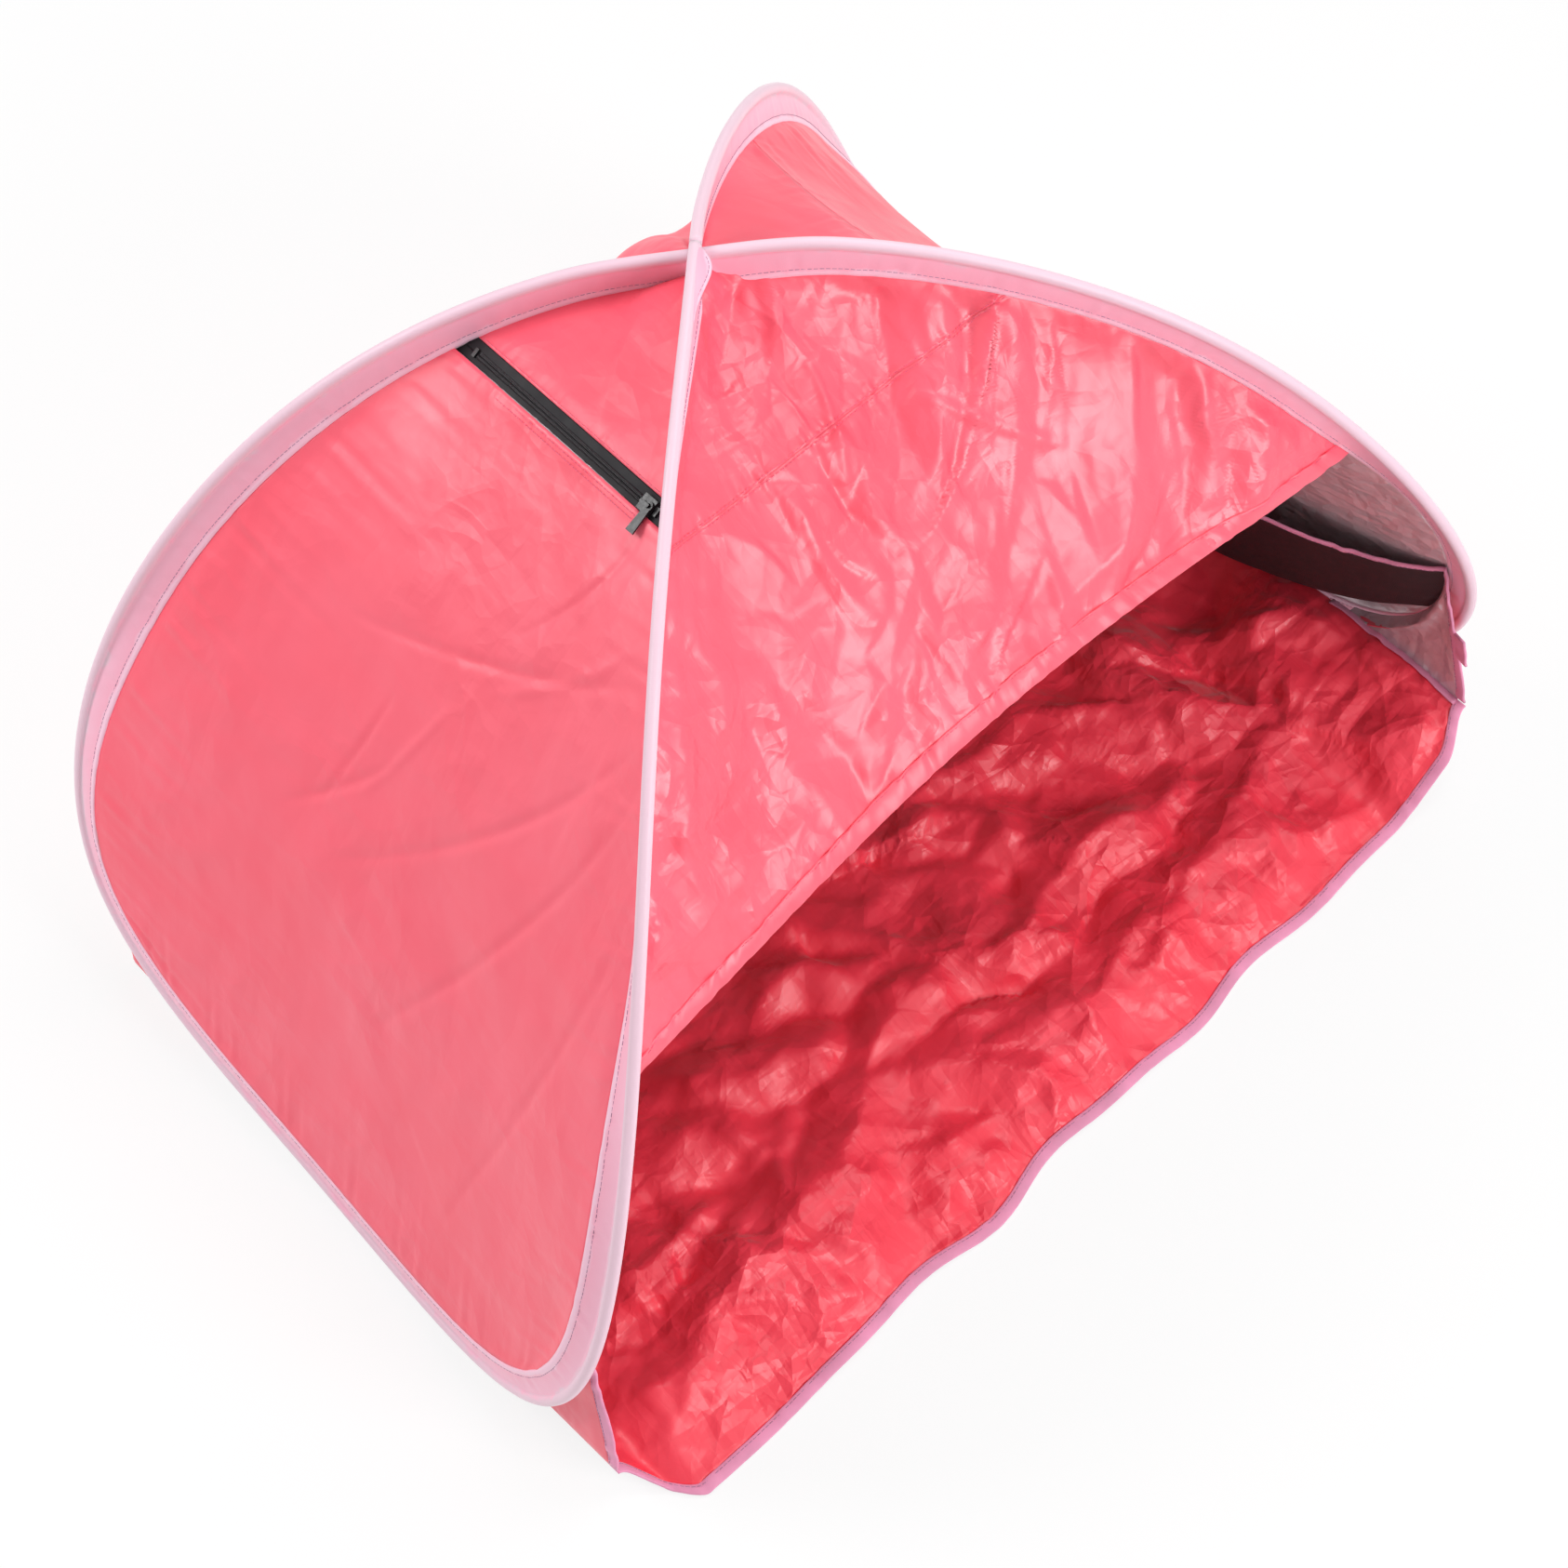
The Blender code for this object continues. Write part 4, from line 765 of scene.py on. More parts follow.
def edge_normal(edge, toward, middle, axis):
    """Unit normals beside an edge line that point to the positive side of an axis at its middle."""
    normal = unit(np.cross(np.gradient(edge, axis=0), toward))
    return normal * np.sign(normal[middle, axis])


def folded_tape(name, edge, toward, normal, width, thickness, material, wave, seed):
    """A folded tape along an edge line: a rounded flat section swept along it."""
    count = 14
    turns = np.linspace(0, 2 * math.pi, count + 1)
    half = thickness / 2
    flat = width / 2 - half
    a = np.where(np.cos(turns) > 0, flat, -flat) + half * np.cos(turns)
    a[np.abs(np.cos(turns)) < 1e-6] = 0
    b = half * np.sin(turns)
    run = run_of(edge)
    sway = wave * ripple(run, 0.017, seed)
    centre = edge + toward * (width / 2) + normal * sway[:, None]
    grid = centre[:, None] + a[None, :, None] * toward[:, None] + b[None, :, None] * normal[:, None]
    uv = np.stack(np.broadcast_arrays(a[None, :] + width / 2, run[:, None]), axis=2)
    return mesh_piece(name, grid, [material], uv=uv, closed=True)


def stitches(name, line, normal, material, slot="edge_binding"):
    """A row of thread stitches along a line, each lying on the surface."""
    size = sizes()
    run = run_of(line)
    places = np.arange(size.stitch_pitch, run[-1] - size.stitch_pitch / 2, size.stitch_pitch)
    points = read_at(line, run, places)
    ups = unit(read_at(normal, run, places))
    ways = unit(read_at(np.gradient(line, axis=0), run, places))
    shape = bmesh.new()
    for point, up, way in zip(points, ups, ways):
        side = np.cross(up, way)
        up = np.cross(way, side)
        turn = Matrix((side, up, way)).transposed().to_4x4()
        turn.translation = Vector(point)
        bmesh.ops.create_cone(
            shape, cap_ends=True, segments=STITCH_SIDES, radius1=size.stitch_radius,
            radius2=size.stitch_radius * 0.8, depth=size.stitch_length, matrix=turn)
    mesh = bpy.data.meshes.new(name)
    shape.to_mesh(mesh)
    shape.free()
    mesh.materials.append(material)
    dress(placed(name, mesh), slot)


class Nodes:
    """Short way to add and join shader nodes."""

    def __init__(self, name):
        self.material = bpy.data.materials.get(name) or bpy.data.materials.new(name)
        self.material.use_nodes = True
        self.tree = self.material.node_tree
        self.tree.nodes.clear()
        self.shader = self.add("ShaderNodeBsdfPrincipled")
        out = self.add("ShaderNodeOutputMaterial")
        self.join(self.shader.outputs["BSDF"], out.inputs["Surface"])

    def add(self, kind, **values):
        node = self.tree.nodes.new(kind)
        for key, value in values.items():
            setattr(node, key, value)
        return node

    def join(self, start, end):
        self.tree.links.new(start, end)
        return end

    def put(self, node, name, value):
        node.inputs[name].default_value = value

    def uv(self):
        return self.add("ShaderNodeTexCoord").outputs["UV"]

    def place(self):
        return self.add("ShaderNodeTexCoord").outputs["Object"]

    def noise(self, vector, scale, detail=2.0, roughness=0.5, distortion=0.0):
        node = self.add("ShaderNodeTexNoise")
        self.put(node, "Scale", scale)
        self.put(node, "Detail", detail)
        self.put(node, "Roughness", roughness)
        self.put(node, "Distortion", distortion)
        self.join(vector, node.inputs["Vector"])
        return node.outputs["Fac"]

    def bands(self, vector, direction, pitch):
        """Height of even ribs across one direction."""
        wave = self.add("ShaderNodeTexWave", wave_type="BANDS", bands_direction=direction)
        self.put(wave, "Scale", BAND_RUN / pitch)
        self.join(vector, wave.inputs["Vector"])
        return wave.outputs["Fac"]

    def weave(self, vector, pitch):
        """Height of a plain weave from two crossed bands."""
        return self.maths("MULTIPLY", self.bands(vector, "X", pitch), self.bands(vector, "Y", pitch))

    def folds(self, vector, scale):
        """Height of small sharp folds with nearly flat sides."""
        bend = self.add("ShaderNodeTexNoise")
        self.put(bend, "Scale", scale * 0.45)
        self.put(bend, "Detail", 1.0)
        self.join(vector, bend.inputs["Vector"])
        centred = self.add("ShaderNodeVectorMath", operation="SUBTRACT")
        self.join(bend.outputs["Color"], centred.inputs[0])
        centred.inputs[1].default_value = (0.5, 0.5, 0.5)
        scaled = self.add("ShaderNodeVectorMath", operation="SCALE")
        self.join(centred.outputs["Vector"], scaled.inputs[0])
        self.put(scaled, "Scale", 1.2 / scale)
        moved = self.add("ShaderNodeVectorMath", operation="ADD")
        self.join(vector, moved.inputs[0])
        self.join(scaled.outputs["Vector"], moved.inputs[1])
        cells = self.add("ShaderNodeTexVoronoi", distance="MANHATTAN")
        self.put(cells, "Scale", scale)
        self.join(moved.outputs["Vector"], cells.inputs["Vector"])
        return cells.outputs["Distance"]

    def maths(self, operation, first, second):
        node = self.add("ShaderNodeMath", operation=operation)
        for k, value in enumerate((first, second)):
            if isinstance(value, (int, float)):
                node.inputs[k].default_value = value
            else:
                self.join(value, node.inputs[k])
        return node.outputs["Value"]

    def ranged(self, value, low, high, start=0.0, end=1.0):
        node = self.add("ShaderNodeMapRange")
        self.put(node, "From Min", low)
        self.put(node, "From Max", high)
        self.put(node, "To Min", start)
        self.put(node, "To Max", end)
        self.join(value, node.inputs["Value"])
        return node.outputs["Result"]

    def ramp(self, value, stops):
        node = self.add("ShaderNodeValToRGB")
        while len(node.color_ramp.elements) < len(stops):
            node.color_ramp.elements.new(0.5)
        for element, (position, tone) in zip(node.color_ramp.elements, stops):
            element.position = position
            element.color = (*tone, 1)
        self.join(value, node.inputs["Fac"])
        return node.outputs["Color"]

    def mix(self, share, first, second):
        node = self.add("ShaderNodeMix", data_type="RGBA")
        for key, value in (("Factor", share), ("A", first), ("B", second)):
            socket = next(
                s for s in node.inputs if s.name == key and s.type in ("VALUE", "RGBA") and s.enabled)
            if isinstance(value, (int, float)):
                socket.default_value = value
            elif isinstance(value, (tuple, list)):
                socket.default_value = (*value, 1)
            else:
                self.join(value, socket)
        return next(s for s in node.outputs if s.enabled)

    def shades(self, value, low, high, tone, dark, light):
        """A tone between two shades of itself, by where a value lies between low and high."""
        return self.mix(self.ranged(value, low, high), tuple(v * dark for v in tone),
                        tuple(min(v * light, 1) for v in tone))

    def bump(self, height, distance, strength=1.0, below=None):
        node = self.add("ShaderNodeBump")
        self.put(node, "Distance", distance)
        self.put(node, "Strength", strength)
        self.join(height, node.inputs["Height"])
        if below is not None:
            self.join(below, node.inputs["Normal"])
        return node.outputs["Normal"]

    def finish(self, base=None, roughness=None, normal=None, **constants):
        if base is not None:
            self.join(base, self.shader.inputs["Base Color"])
        if roughness is not None:
            self.join(roughness, self.shader.inputs["Roughness"])
        if normal is not None:
            self.join(normal, self.shader.inputs["Normal"])
        for key, value in constants.items():
            self.shader.inputs[key.replace("_", " ")].default_value = value
        return self.material


def woven(name, tone, light, gloss=(0.38, 0.48), crumple=0.035, specular=0.75):
    """Thin woven cloth: two tones in clouds, a plain weave, and sharp small folds in patches."""
    n = Nodes(name)
    place = n.place()
    clouds = n.noise(place, 7, 4, 0.6, 0.4)
    base = n.mix(n.ranged(clouds, 0.35, 0.72), tuple(tone), tuple(light))
    threads = n.weave(n.uv(), WEAVE_PITCH)
    base = n.mix(n.maths("MULTIPLY", threads, 0.10), base, tuple(v * 0.7 for v in tone))
    normal = n.bump(threads, 0.000005, 0.6)
    patches = n.ranged(n.noise(place, 11, 2, 0.5), 0.36, 0.62, 0.25, 1.0)
    for scale, share in ((95, 0.45), (44, 0.8), (21, 1.0)):
        lying = n.maths("MULTIPLY", n.folds(place, scale), patches)
        normal = n.bump(lying, crumple * share / scale, 1.0, normal)
    rough = n.ranged(n.noise(place, 30, 2), 0.3, 0.7, *gloss)
    return n.finish(base, rough, normal, Sheen_Weight=0.10, Sheen_Roughness=0.4, Specular_IOR_Level=specular)


def coated(name, tone):
    """Silver coated side of the cloth: smooth, satin and slightly blotched."""
    n = Nodes(name)
    place = n.place()
    base = n.shades(n.noise(place, 14, 4, 0.65, 0.8), 0.3, 0.75, tone, 1, 1.22)
    normal = n.bump(n.weave(n.uv(), WEAVE_PITCH), 0.000005, 0.5)
    for scale, slope in ((150, 0.06), (60, 0.10)):
        normal = n.bump(n.folds(place, scale), slope / scale, 1.0, normal)
    rough = n.ranged(n.noise(place, 40, 2), 0.3, 0.7, 0.30, 0.42)
    return n.finish(base, rough, normal, Metallic=0.25, Specular_IOR_Level=0.5)


def casing_cloth(name):
    """Translucent tape: whitish over the wire, where a highlight on the channel's round is painted and the
    wire shows through, pinker towards the cloth, fine cross ribs.
    """
    tone = colours()
    n = Nodes(name)
    uv = n.uv()
    split = n.add("ShaderNodeSeparateXYZ")
    n.join(uv, split.inputs["Vector"])
    across = n.ranged(split.outputs["X"], 0, 0.0215)
    place = n.place()
    cloud = n.ranged(n.noise(place, 34, 4, 0.6, 0.6), 0.3, 0.7, -0.10, 0.10)
    # The first band, whitish over the wire, is a painted highlight on the channel's rounded rim, with the
    # wire seen through the tape.
    base = n.ramp(n.maths("ADD", across, cloud), [
        (0.00, tuple(tone.casing_rim_highlight)),
        (0.26, tuple(tone.casing_rim_highlight)),
        (0.36, tuple(tone.casing_pink)),
        (0.80, tuple(tone.casing_deep)),
        (0.90, tuple(tone.casing_hem)),
    ])
    ribs = n.bands(uv, "Y", 0.0009)
    base = n.mix(n.maths("MULTIPLY", ribs, 0.10), base, (0.80, 0.50, 0.62))
    normal = n.bump(ribs, 0.00001, 0.5)
    normal = n.bump(n.noise(place, 150, 3, 0.6, 1.0), 0.0003, 0.5, normal)
    rough = n.ranged(n.noise(place, 50, 2), 0.3, 0.7, 0.38, 0.5)
    return n.finish(base, rough, normal, Sheen_Weight=0.3, Sheen_Roughness=0.4, Specular_IOR_Level=0.45)


def tape_cloth(name, tone, pitch=0.0006, sheen=0.2, specular=0.5):
    """Ribbed woven tape."""
    n = Nodes(name)
    uv = n.uv()
    place = n.place()
    threads = n.weave(uv, pitch)
    clouds = n.noise(place, 40, 3, 0.6)
    base = n.shades(clouds, 0.3, 0.7, tone, 0.88, 1.15)
    base = n.mix(n.maths("MULTIPLY", threads, 0.25), base, tuple(v * 0.6 for v in tone))
    normal = n.bump(threads, 0.00002, 0.7)
    normal = n.bump(n.noise(place, 190, 2, 0.5), 0.0002, 0.5, normal)
    rough = n.ranged(clouds, 0.3, 0.7, 0.5, 0.66)
    return n.finish(base, rough, normal, Sheen_Weight=sheen, Sheen_Roughness=0.5, Specular_IOR_Level=specular)


def thread_cloth(name, tone):
    """Twisted sewing thread."""
    n = Nodes(name)
    twist = n.noise(n.place(), 1500, 1, 0.5)
    base = n.shades(twist, 0.35, 0.65, tone, 0.75, 1.2)
    return n.finish(base, None, n.bump(twist, 0.00004, 0.6), Roughness=0.55, Sheen_Weight=0.2)


def net_cloth(name, tone):
    """Fine knitted net with open holes."""
    n = Nodes(name)
    open_part = n.weave(n.uv(), 0.0011)
    solid = n.ranged(open_part, 0.62, 0.74, 1.0, 0.0)
    base = n.shades(n.noise(n.place(), 300, 2), 0.3, 0.7, tone, 1, 2.4)
    n.join(solid, n.shader.inputs["Alpha"])
    return n.finish(base, None, n.bump(open_part, 0.0002, 0.7), Roughness=0.7)


def metal(name, tone, roughness, metallic):
    """Drawn or painted metal with fine scratches and smudges."""
    n = Nodes(name)
    place = n.place()
    marks = n.noise(place, 420, 4, 0.7)
    base = n.shades(n.noise(place, 60, 3), 0.3, 0.7, tone, 0.85, 1.12)
    rough = n.ranged(marks, 0.3, 0.7, roughness * 0.8, roughness * 1.25)
    return n.finish(base, rough, n.bump(marks, 0.00003, 0.4), Metallic=metallic)


def coil_plastic(name, tone):
    """Black nylon of the zip's coil."""
    n = Nodes(name)
    place = n.place()
    base = n.shades(n.noise(place, 500, 2), 0.3, 0.7, tone, 1, 2.5)
    rough = n.ranged(n.noise(place, 300, 2), 0.3, 0.7, 0.26, 0.38)
    return n.finish(base, rough, n.bump(n.noise(place, 900, 2), 0.00004, 0.4), Specular_IOR_Level=0.6)


def look(name, make, *values, **named):
    """A material that is made once and then shared."""
    if name not in LOOKS:
        LOOKS[name] = make(name, *values, **named)
    return LOOKS[name]


def seen_directly(tree):
    """1 for what the camera sees, also in a reflection or through something clear, or else 0."""
    path = tree.nodes.new("ShaderNodeLightPath")
    seen = path.outputs["Is Camera Ray"]
    for ray in ("Is Glossy Ray", "Is Transmission Ray"):
        either = tree.nodes.new("ShaderNodeMath")
        either.operation = "MAXIMUM"
        tree.links.new(seen, either.inputs[0])
        tree.links.new(path.outputs[ray], either.inputs[1])
        seen = either.outputs["Value"]
    return seen


def coral():
    return look("coral_cloth", woven, colours().coral, colours().coral_light)


def canopy_coral():
    return look("coral_canopy", woven, colours().coral, colours().coral_light, (0.34, 0.44), 0.085)


def silver():
    return look("silver_coating", coated, colours().silver)


def floor_cloth():
    return look("floor_cloth", woven, colours().floor_red, colours().floor_light, (0.36, 0.47), 0.13, 0.6)


def casing_material():
    return look("casing_tape", casing_cloth)


def binding_material():
    return look("edge_binding", tape_cloth, colours().binding)


def dark_thread():
    return look("dark_thread", thread_cloth, colours().thread)


def pink_thread():
    return look("pink_thread", thread_cloth, colours().pink_thread)


class Step(bpy.types.Operator):
    """One group of the tent's pieces"""
    bl_options = {"REGISTER", "UNDO"}

    def execute(self, context):
        self.make(Hoop(sizes()))
        return {"FINISHED"}


class TENT_OT_casings(Step):
    """Sews the two casings that hold the spring wire"""
    bl_idname = "beach_tent.casings"
    bl_label = "Casings"

    def make(self, hoop):
        for side, word in SIDES:
            self.casing(hoop, side, word)
        self.gusset(hoop, LEFT, "left")

    def gusset(self, hoop, side, word):
        """The casing's end beside the crossing, laid over the canopy's edge."""
        stations = 60
        shares = np.linspace(*CASING_END, stations)
        line = hoop.at(hoop.lobes[side]["line"], shares)
        along = unit(np.gradient(line, axis=0))
        mirrored = line * np.array([-1.0, 1.0, 1.0])
        gap = np.linalg.norm(mirrored - line, axis=1)
        over = flat_part(mirrored - line, along)
        up = np.cross(along, over)
        up = up * np.sign(up[stations // 2, 2])
        taper = 1 - smooth(shares, *CASING_END) ** 0.8
        reach = ((0.0030 + 0.0110 * taper) ** -3 + (0.46 * gap) ** -3) ** (-1 / 3)
        places = np.linspace(0, 1, 9)
        rise = 0.0020 - 0.0012 * places
        grid = (line[:, None] + (reach[:, None] * places)[..., None] * over[:, None]
                + rise[None, :, None] * up[:, None])
        run = np.linspace(0, 0.052, stations)
        uv = np.stack(np.broadcast_arrays(0.0085 + 0.0110 * places[None, :], run[:, None]), axis=2)
        piece = mesh_piece(f"{word}_casing_end", grid, [casing_material()], uv=uv, out=np.array([0, 0, 1.0]))
        thicken(piece, 0.0008, 1)
        dress(piece, "casing_tape")
        seam = line + (reach - 0.0014)[:, None] * over + 0.0018 * up
        stitches(f"{word}_casing_end_stitches", seam[6:-10], up[6:-10], dark_thread(), "casing_tape")

    def casing(self, hoop, side, word):
        """The tape round one lobe's wire: a channel and two layers that are swept along it."""
        size = sizes()
        data = hoop.lobes[side]
        inset = 0.5 * CASING_GAP / hoop.length
        shares = hoop.shares(inset, 1 - inset, 620)
        line = hoop.at(data["line"], shares)
        along = unit(np.gradient(line, axis=0))
        fin = flat_part(hoop.at(data["fin"], shares), along)
        over = np.cross(along, fin)
        reach = np.interp(shares, hoop.places, data["reach"])
        run = np.interp(shares, hoop.places, hoop.travel)
        half = size.casing_thickness / 2
        radius = size.casing_radius
        mouth = math.asin(half / radius)
        wide = smooth(reach, 0.006, 0.018)
        wave = 0.00030 * ripple(run, 0.013, 3.0 + side) * wide
        start = radius * math.cos(mouth)
        tip = reach + 0.00012 * ripple(run, 0.021, 1.7 + side) * wide
        stitched = tip - 1.9 * size.casing_hem

        def layer(share, sign):
            """Reach and height of one layer's points at a share of the way to the tip."""
            a = start + (tip - start) * share
            hem = smooth(a, tip - 2.2 * size.casing_hem, tip - 0.6 * size.casing_hem)
            groove = np.exp(-((a - stitched) / 0.0009) ** 2) if sign > 0 else 0
            sway = wave * smooth(a, 0.004, 0.010) * (1 - smooth(a, tip - 0.006, tip - 0.001))
            return a, sign * (half + 0.00035 * hem) - 0.00025 * groove + sway

        channel = [(radius * math.cos(t), radius * math.sin(t)) for t in np.linspace(math.pi, mouth, 10)]
        steps = np.linspace(0.12, 1, 9)
        loop = channel + [layer(share, 1) for share in steps] + [(tip + 1.4 * half, 0)]
        loop += [layer(share, -1) for share in steps[::-1]] + [(a, -b) for a, b in channel[::-1]]
        a, b = (np.stack([np.broadcast_to(spot[k], run.shape) for spot in loop], axis=1) for k in (0, 1))
        grid = line[:, None] + a[..., None] * fin[:, None] + b[..., None] * over[:, None]
        across = a + radius
        across[:, len(channel) + len(steps)] = tip + radius + half
        uv = np.stack([across, np.repeat(run[:, None], len(loop), axis=1)], axis=2)
        piece = mesh_piece(f"{word}_casing_tape", grid, [casing_material()], uv=uv, closed=True)
        dress(piece, "casing_tape", f"{word}_casing")
        keep = reach > 0.012
        for sign, face in ((1, "outer"), (-1, "inner")):
            seam = line + stitched[:, None] * fin + sign * half * 1.1 * over
            stitches(f"{word}_casing_stitches_{face}", seam[keep], (sign * over)[keep], dark_thread(),
                     "casing_tape")


class TENT_OT_side_panels(Step):
    """Makes the side panels of both lobes"""
    bl_idname = "beach_tent.side_panels"
    bl_label = "Side panels"

    def make(self, hoop):
        upper, lower = side_panels(hoop, LEFT, sizes().zip_half_band)
        self.panel(LEFT, "left", "upper", finer(upper, 60, 130), TOP_LAYERS, 11, LEFT_TOP_PUCKERS)
        self.panel(LEFT, "left", "lower", finer(lower, 190, 175), PANEL_LAYERS, 23,
                   {**PANEL_PUCKERS, "top": (0.0003, 0.009, 0.008)}, LEFT_PANEL_FOLDS)
        upper, lower = side_panels(hoop, RIGHT, 0.0002)
        self.panel(RIGHT, "right", "upper", finer(upper, 60, 130), PANEL_LAYERS, 31, RIGHT_TOP_PUCKERS)
        self.panel(RIGHT, "right", "lower", finer(lower, 190, 175), PANEL_LAYERS, 43,
                   {**PANEL_PUCKERS, "top": (0.0005, 0.010, 0.014)})

    def panel(self, side, word, part, grid, layers, seed, puckers, folds=()):
        name = f"{word}_panel_{part}"
        grid = crumpled(grid, layers, seed, puckers, folds)
        cloth_piece(name, grid, [coral(), silver()], (side, 0, 0.6), f"{word}_side_{part}")
        MADE[name] = grid


class TENT_OT_canopy(Step):
    """Makes the two pieces of the front canopy and its hemmed eave"""
    bl_idname = "beach_tent.canopy"
    bl_label = "Front canopy"

    def make(self, hoop):
        fine, seam_row = self.grid(hoop)
        upper, lower = fine[:seam_row + 1], fine[seam_row:]
        for name, node, part in (("canopy_top_cloth", "canopy_upper", upper),
                                 ("canopy_front_cloth", "canopy_lower", lower)):
            cloth_piece(name, part, [canopy_coral(), silver()], (0, -0.6, 1), node)
        normals = grid_normals(lower)
        normals = normals * np.sign(normals[len(normals) // 2, normals.shape[1] // 2, 2])
        hem_width = sizes().hem_width
        edge = lower[-1]
        toward = unit(lower[-6] - edge)
        hem = folded_tape("eave_hem_fold", edge - 0.0004 * toward + 0.0004 * normals[-2], toward, normals[-3],
                          hem_width, BINDING_THICKNESS, coral(), 0.0005, 2.0)
        dress(hem, "coral_cloth", "eave_hem")
        row = edge + toward * hem_width * 0.86 + normals[-3] * 0.0013
        stitches("eave_stitches", row, normals[-3], pink_thread(), "coral_cloth")
        seam = fine[seam_row] + 0.0006 * normals[0]
        down = unit(lower[3] - lower[0])
        for k, gap in enumerate((-0.0016, 0.0016)):
            stitches(f"canopy_seam_stitches_{k + 1}", seam + gap * down, normals[0], pink_thread(),
                     "coral_cloth")

    def grid(self, hoop):
        """The canopy's crumpled grid from the crossing to the eave, and the row of its seam."""
        columns = 34
        upper_rows, lower_rows = 11, 19
        edges = []
        for side in (LEFT, RIGHT):
            up = hoop.edge(side, CANOPY_TOP, CANOPY_SEAM[side], upper_rows)
            down = hoop.edge(side, CANOPY_SEAM[side], EAVE[side], lower_rows)
            edges.append(np.concatenate([up, down[1:]]))
        left, right = edges
        eave = line_between(left[-1], right[-1], columns)
        arch = EAVE_ARCH * bulge(columns, 1.3)
        eave[:, 1] += 0.55 * arch
        eave[:, 2] += 0.83 * arch
        whole = stretched(line_between(left[0], right[0], columns), eave, left, right)
        seam_row = 6 * (upper_rows - 1)
        fine = finer(whole, 6 * (upper_rows + lower_rows - 2) + 1, 230)
        fine = crumpled(fine, CANOPY_LAYERS, 5, CANOPY_PUCKERS, CANOPY_FOLDS, rest=0.016)
        u, v = cloth_frame(fine)[:2]
        beside = np.abs(v - v[seam_row])
        pucker = 0.0008 * ripple(u, 0.010, 4.0) * np.exp(-beside / 0.006) * smooth(beside, 0, 0.002)
        ridge = 0.0007 * np.exp(-(beside / 0.0016) ** 2)
        normals = grid_normals(fine)
        return fine + (pucker + ridge)[..., None] * normals * np.sign(normals[40, 100, 2]), seam_row


class TENT_OT_rear_wall(Step):
    """Makes the wall across the rear"""
    bl_idname = "beach_tent.rear_wall"
    bl_label = "Rear wall"

    def make(self, hoop):
        size = sizes()
        rows, columns = 22, 34
        edges = []
        for side in (LEFT, RIGHT):
            strand = hoop.edge(side, WALL_TOP, WALL_FOOT, 160)
            foot = np.array([side * REAR_HALF, size.floor_rear + WALL_GAP, 0.0036])
            edges.append(even(np.concatenate([strand, [foot]]), rows))
        left, right = edges
        top = line_between(left[0], right[0], columns)
        top[:, 2] += WALL_ARCH * bulge(columns, 1.2)
        shares = np.sin(np.linspace(-1, 1, columns) * math.pi / 2)
        base_y = size.floor_rear + size.floor_rear_bow * (1 - shares ** 2) + WALL_GAP
        lift = smooth(np.abs(REAR_HALF * shares), REAR_HALF - 0.020, REAR_HALF)
        bottom = np.stack([REAR_HALF * shares, base_y, 0.0008 + 0.003 * lift], axis=1)
        wall = stretched(top, bottom, left, right)
        down = np.linspace(0, 1, rows)
        fall = bulge(rows, 0.6) * (1 - down ** 2)
        high = np.exp(-((down - 0.12) / 0.09) ** 2) * smooth(down, 0, 0.06)
        swell = WALL_SWELL * fall[:, None] * bulge(columns, 0.7)[None, :]
        swell = swell + WALL_SWELL_HIGH * high[:, None] * bulge(columns, 0.6)[None, :]
        out = grid_normals(wall)
        out = out * np.sign(out[rows // 2, columns // 2, 1])
        fine = finer(wall + swell[..., None] * out, 150, 210)
        fine = crumpled(fine, WALL_LAYERS, 61, WALL_PUCKERS, rest=0.020)
        cloth_piece("rear_wall_cloth", fine, [coral(), silver()], (0, 1, 0.5), "rear_wall")


def floor_half(y):
    """Half width of the floor at a place from front to rear."""
    return np.interp(y, [sizes().floor_corner_y, FLOOR_MIDDLE_Y, sizes().floor_rear], FLOOR_HALVES)


def edge_rise(y, side=LEFT):
    """Height of the floor's upturned side edge, which is pulled up at the right front."""
    rise = sizes().floor_edge_rise + (0.003 - sizes().floor_edge_rise) * smooth(y, -0.005, 0.075)
    return rise + CORNER_LIFT * np.where(np.asarray(side) > 0, smooth(y, -0.100, -0.180), 0)


def floor_grid(rows, columns):
    """The floor laid flat with its side edges turned up, and its shares across and back."""
    size = sizes()
    over = np.sin(np.linspace(-1, 1, columns) * math.pi / 2 * 0.93) / math.sin(math.pi / 2 * 0.93)
    x_share = np.tile(over, (rows, 1))
    y_share = np.tile(np.linspace(0, 1, rows)[:, None], (1, columns))
    front = size.floor_front + size.floor_slant * x_share
    front = front + (size.floor_corner_y - front) * smooth(np.abs(x_share), 0.905, 1)
    rear = size.floor_rear + size.floor_rear_bow * (1 - x_share ** 2)
    y = front + (rear - front) * y_share
    half = floor_half(y)
    x = half * x_share
    rise = edge_rise(y, x_share)
    pulled = rise - edge_rise(y)
    rise = rise * smooth(np.abs(x), half - 0.020 - 2.6 * pulled, half)
    x = x - CORNER_INSET * pulled * smooth(x, 0.5 * half, half)
    return np.stack([x, y, 0.0006 + rise], axis=2), x_share, y_share


def ridges(x, y):
    """Height of the floor's ridges, as a share of the highest."""
    size = sizes()
    highest = np.zeros(x.shape)
    for first_x, first_y, last_x, last_y, top, ease in FLOOR_RIDGES:
        start = np.array([first_x * size.half_width, first_y * size.hoop_depth])
        run = np.array([last_x * size.half_width, last_y * size.hoop_depth]) - start
        share = np.clip(((x - start[0]) * run[0] + (y - start[1]) * run[1]) / (run @ run), 0, 1)
        away_x = x - start[0] - share * run[0]
        away_y = y - start[1] - share * run[1]
        away_y = np.where(away_y < 0, away_y * ease, away_y)
        away = np.sqrt(away_x ** 2 + away_y ** 2 + size.ridge_round ** 2) - size.ridge_round
        highest = np.maximum(highest, top - away / size.ridge_reach)
    return highest


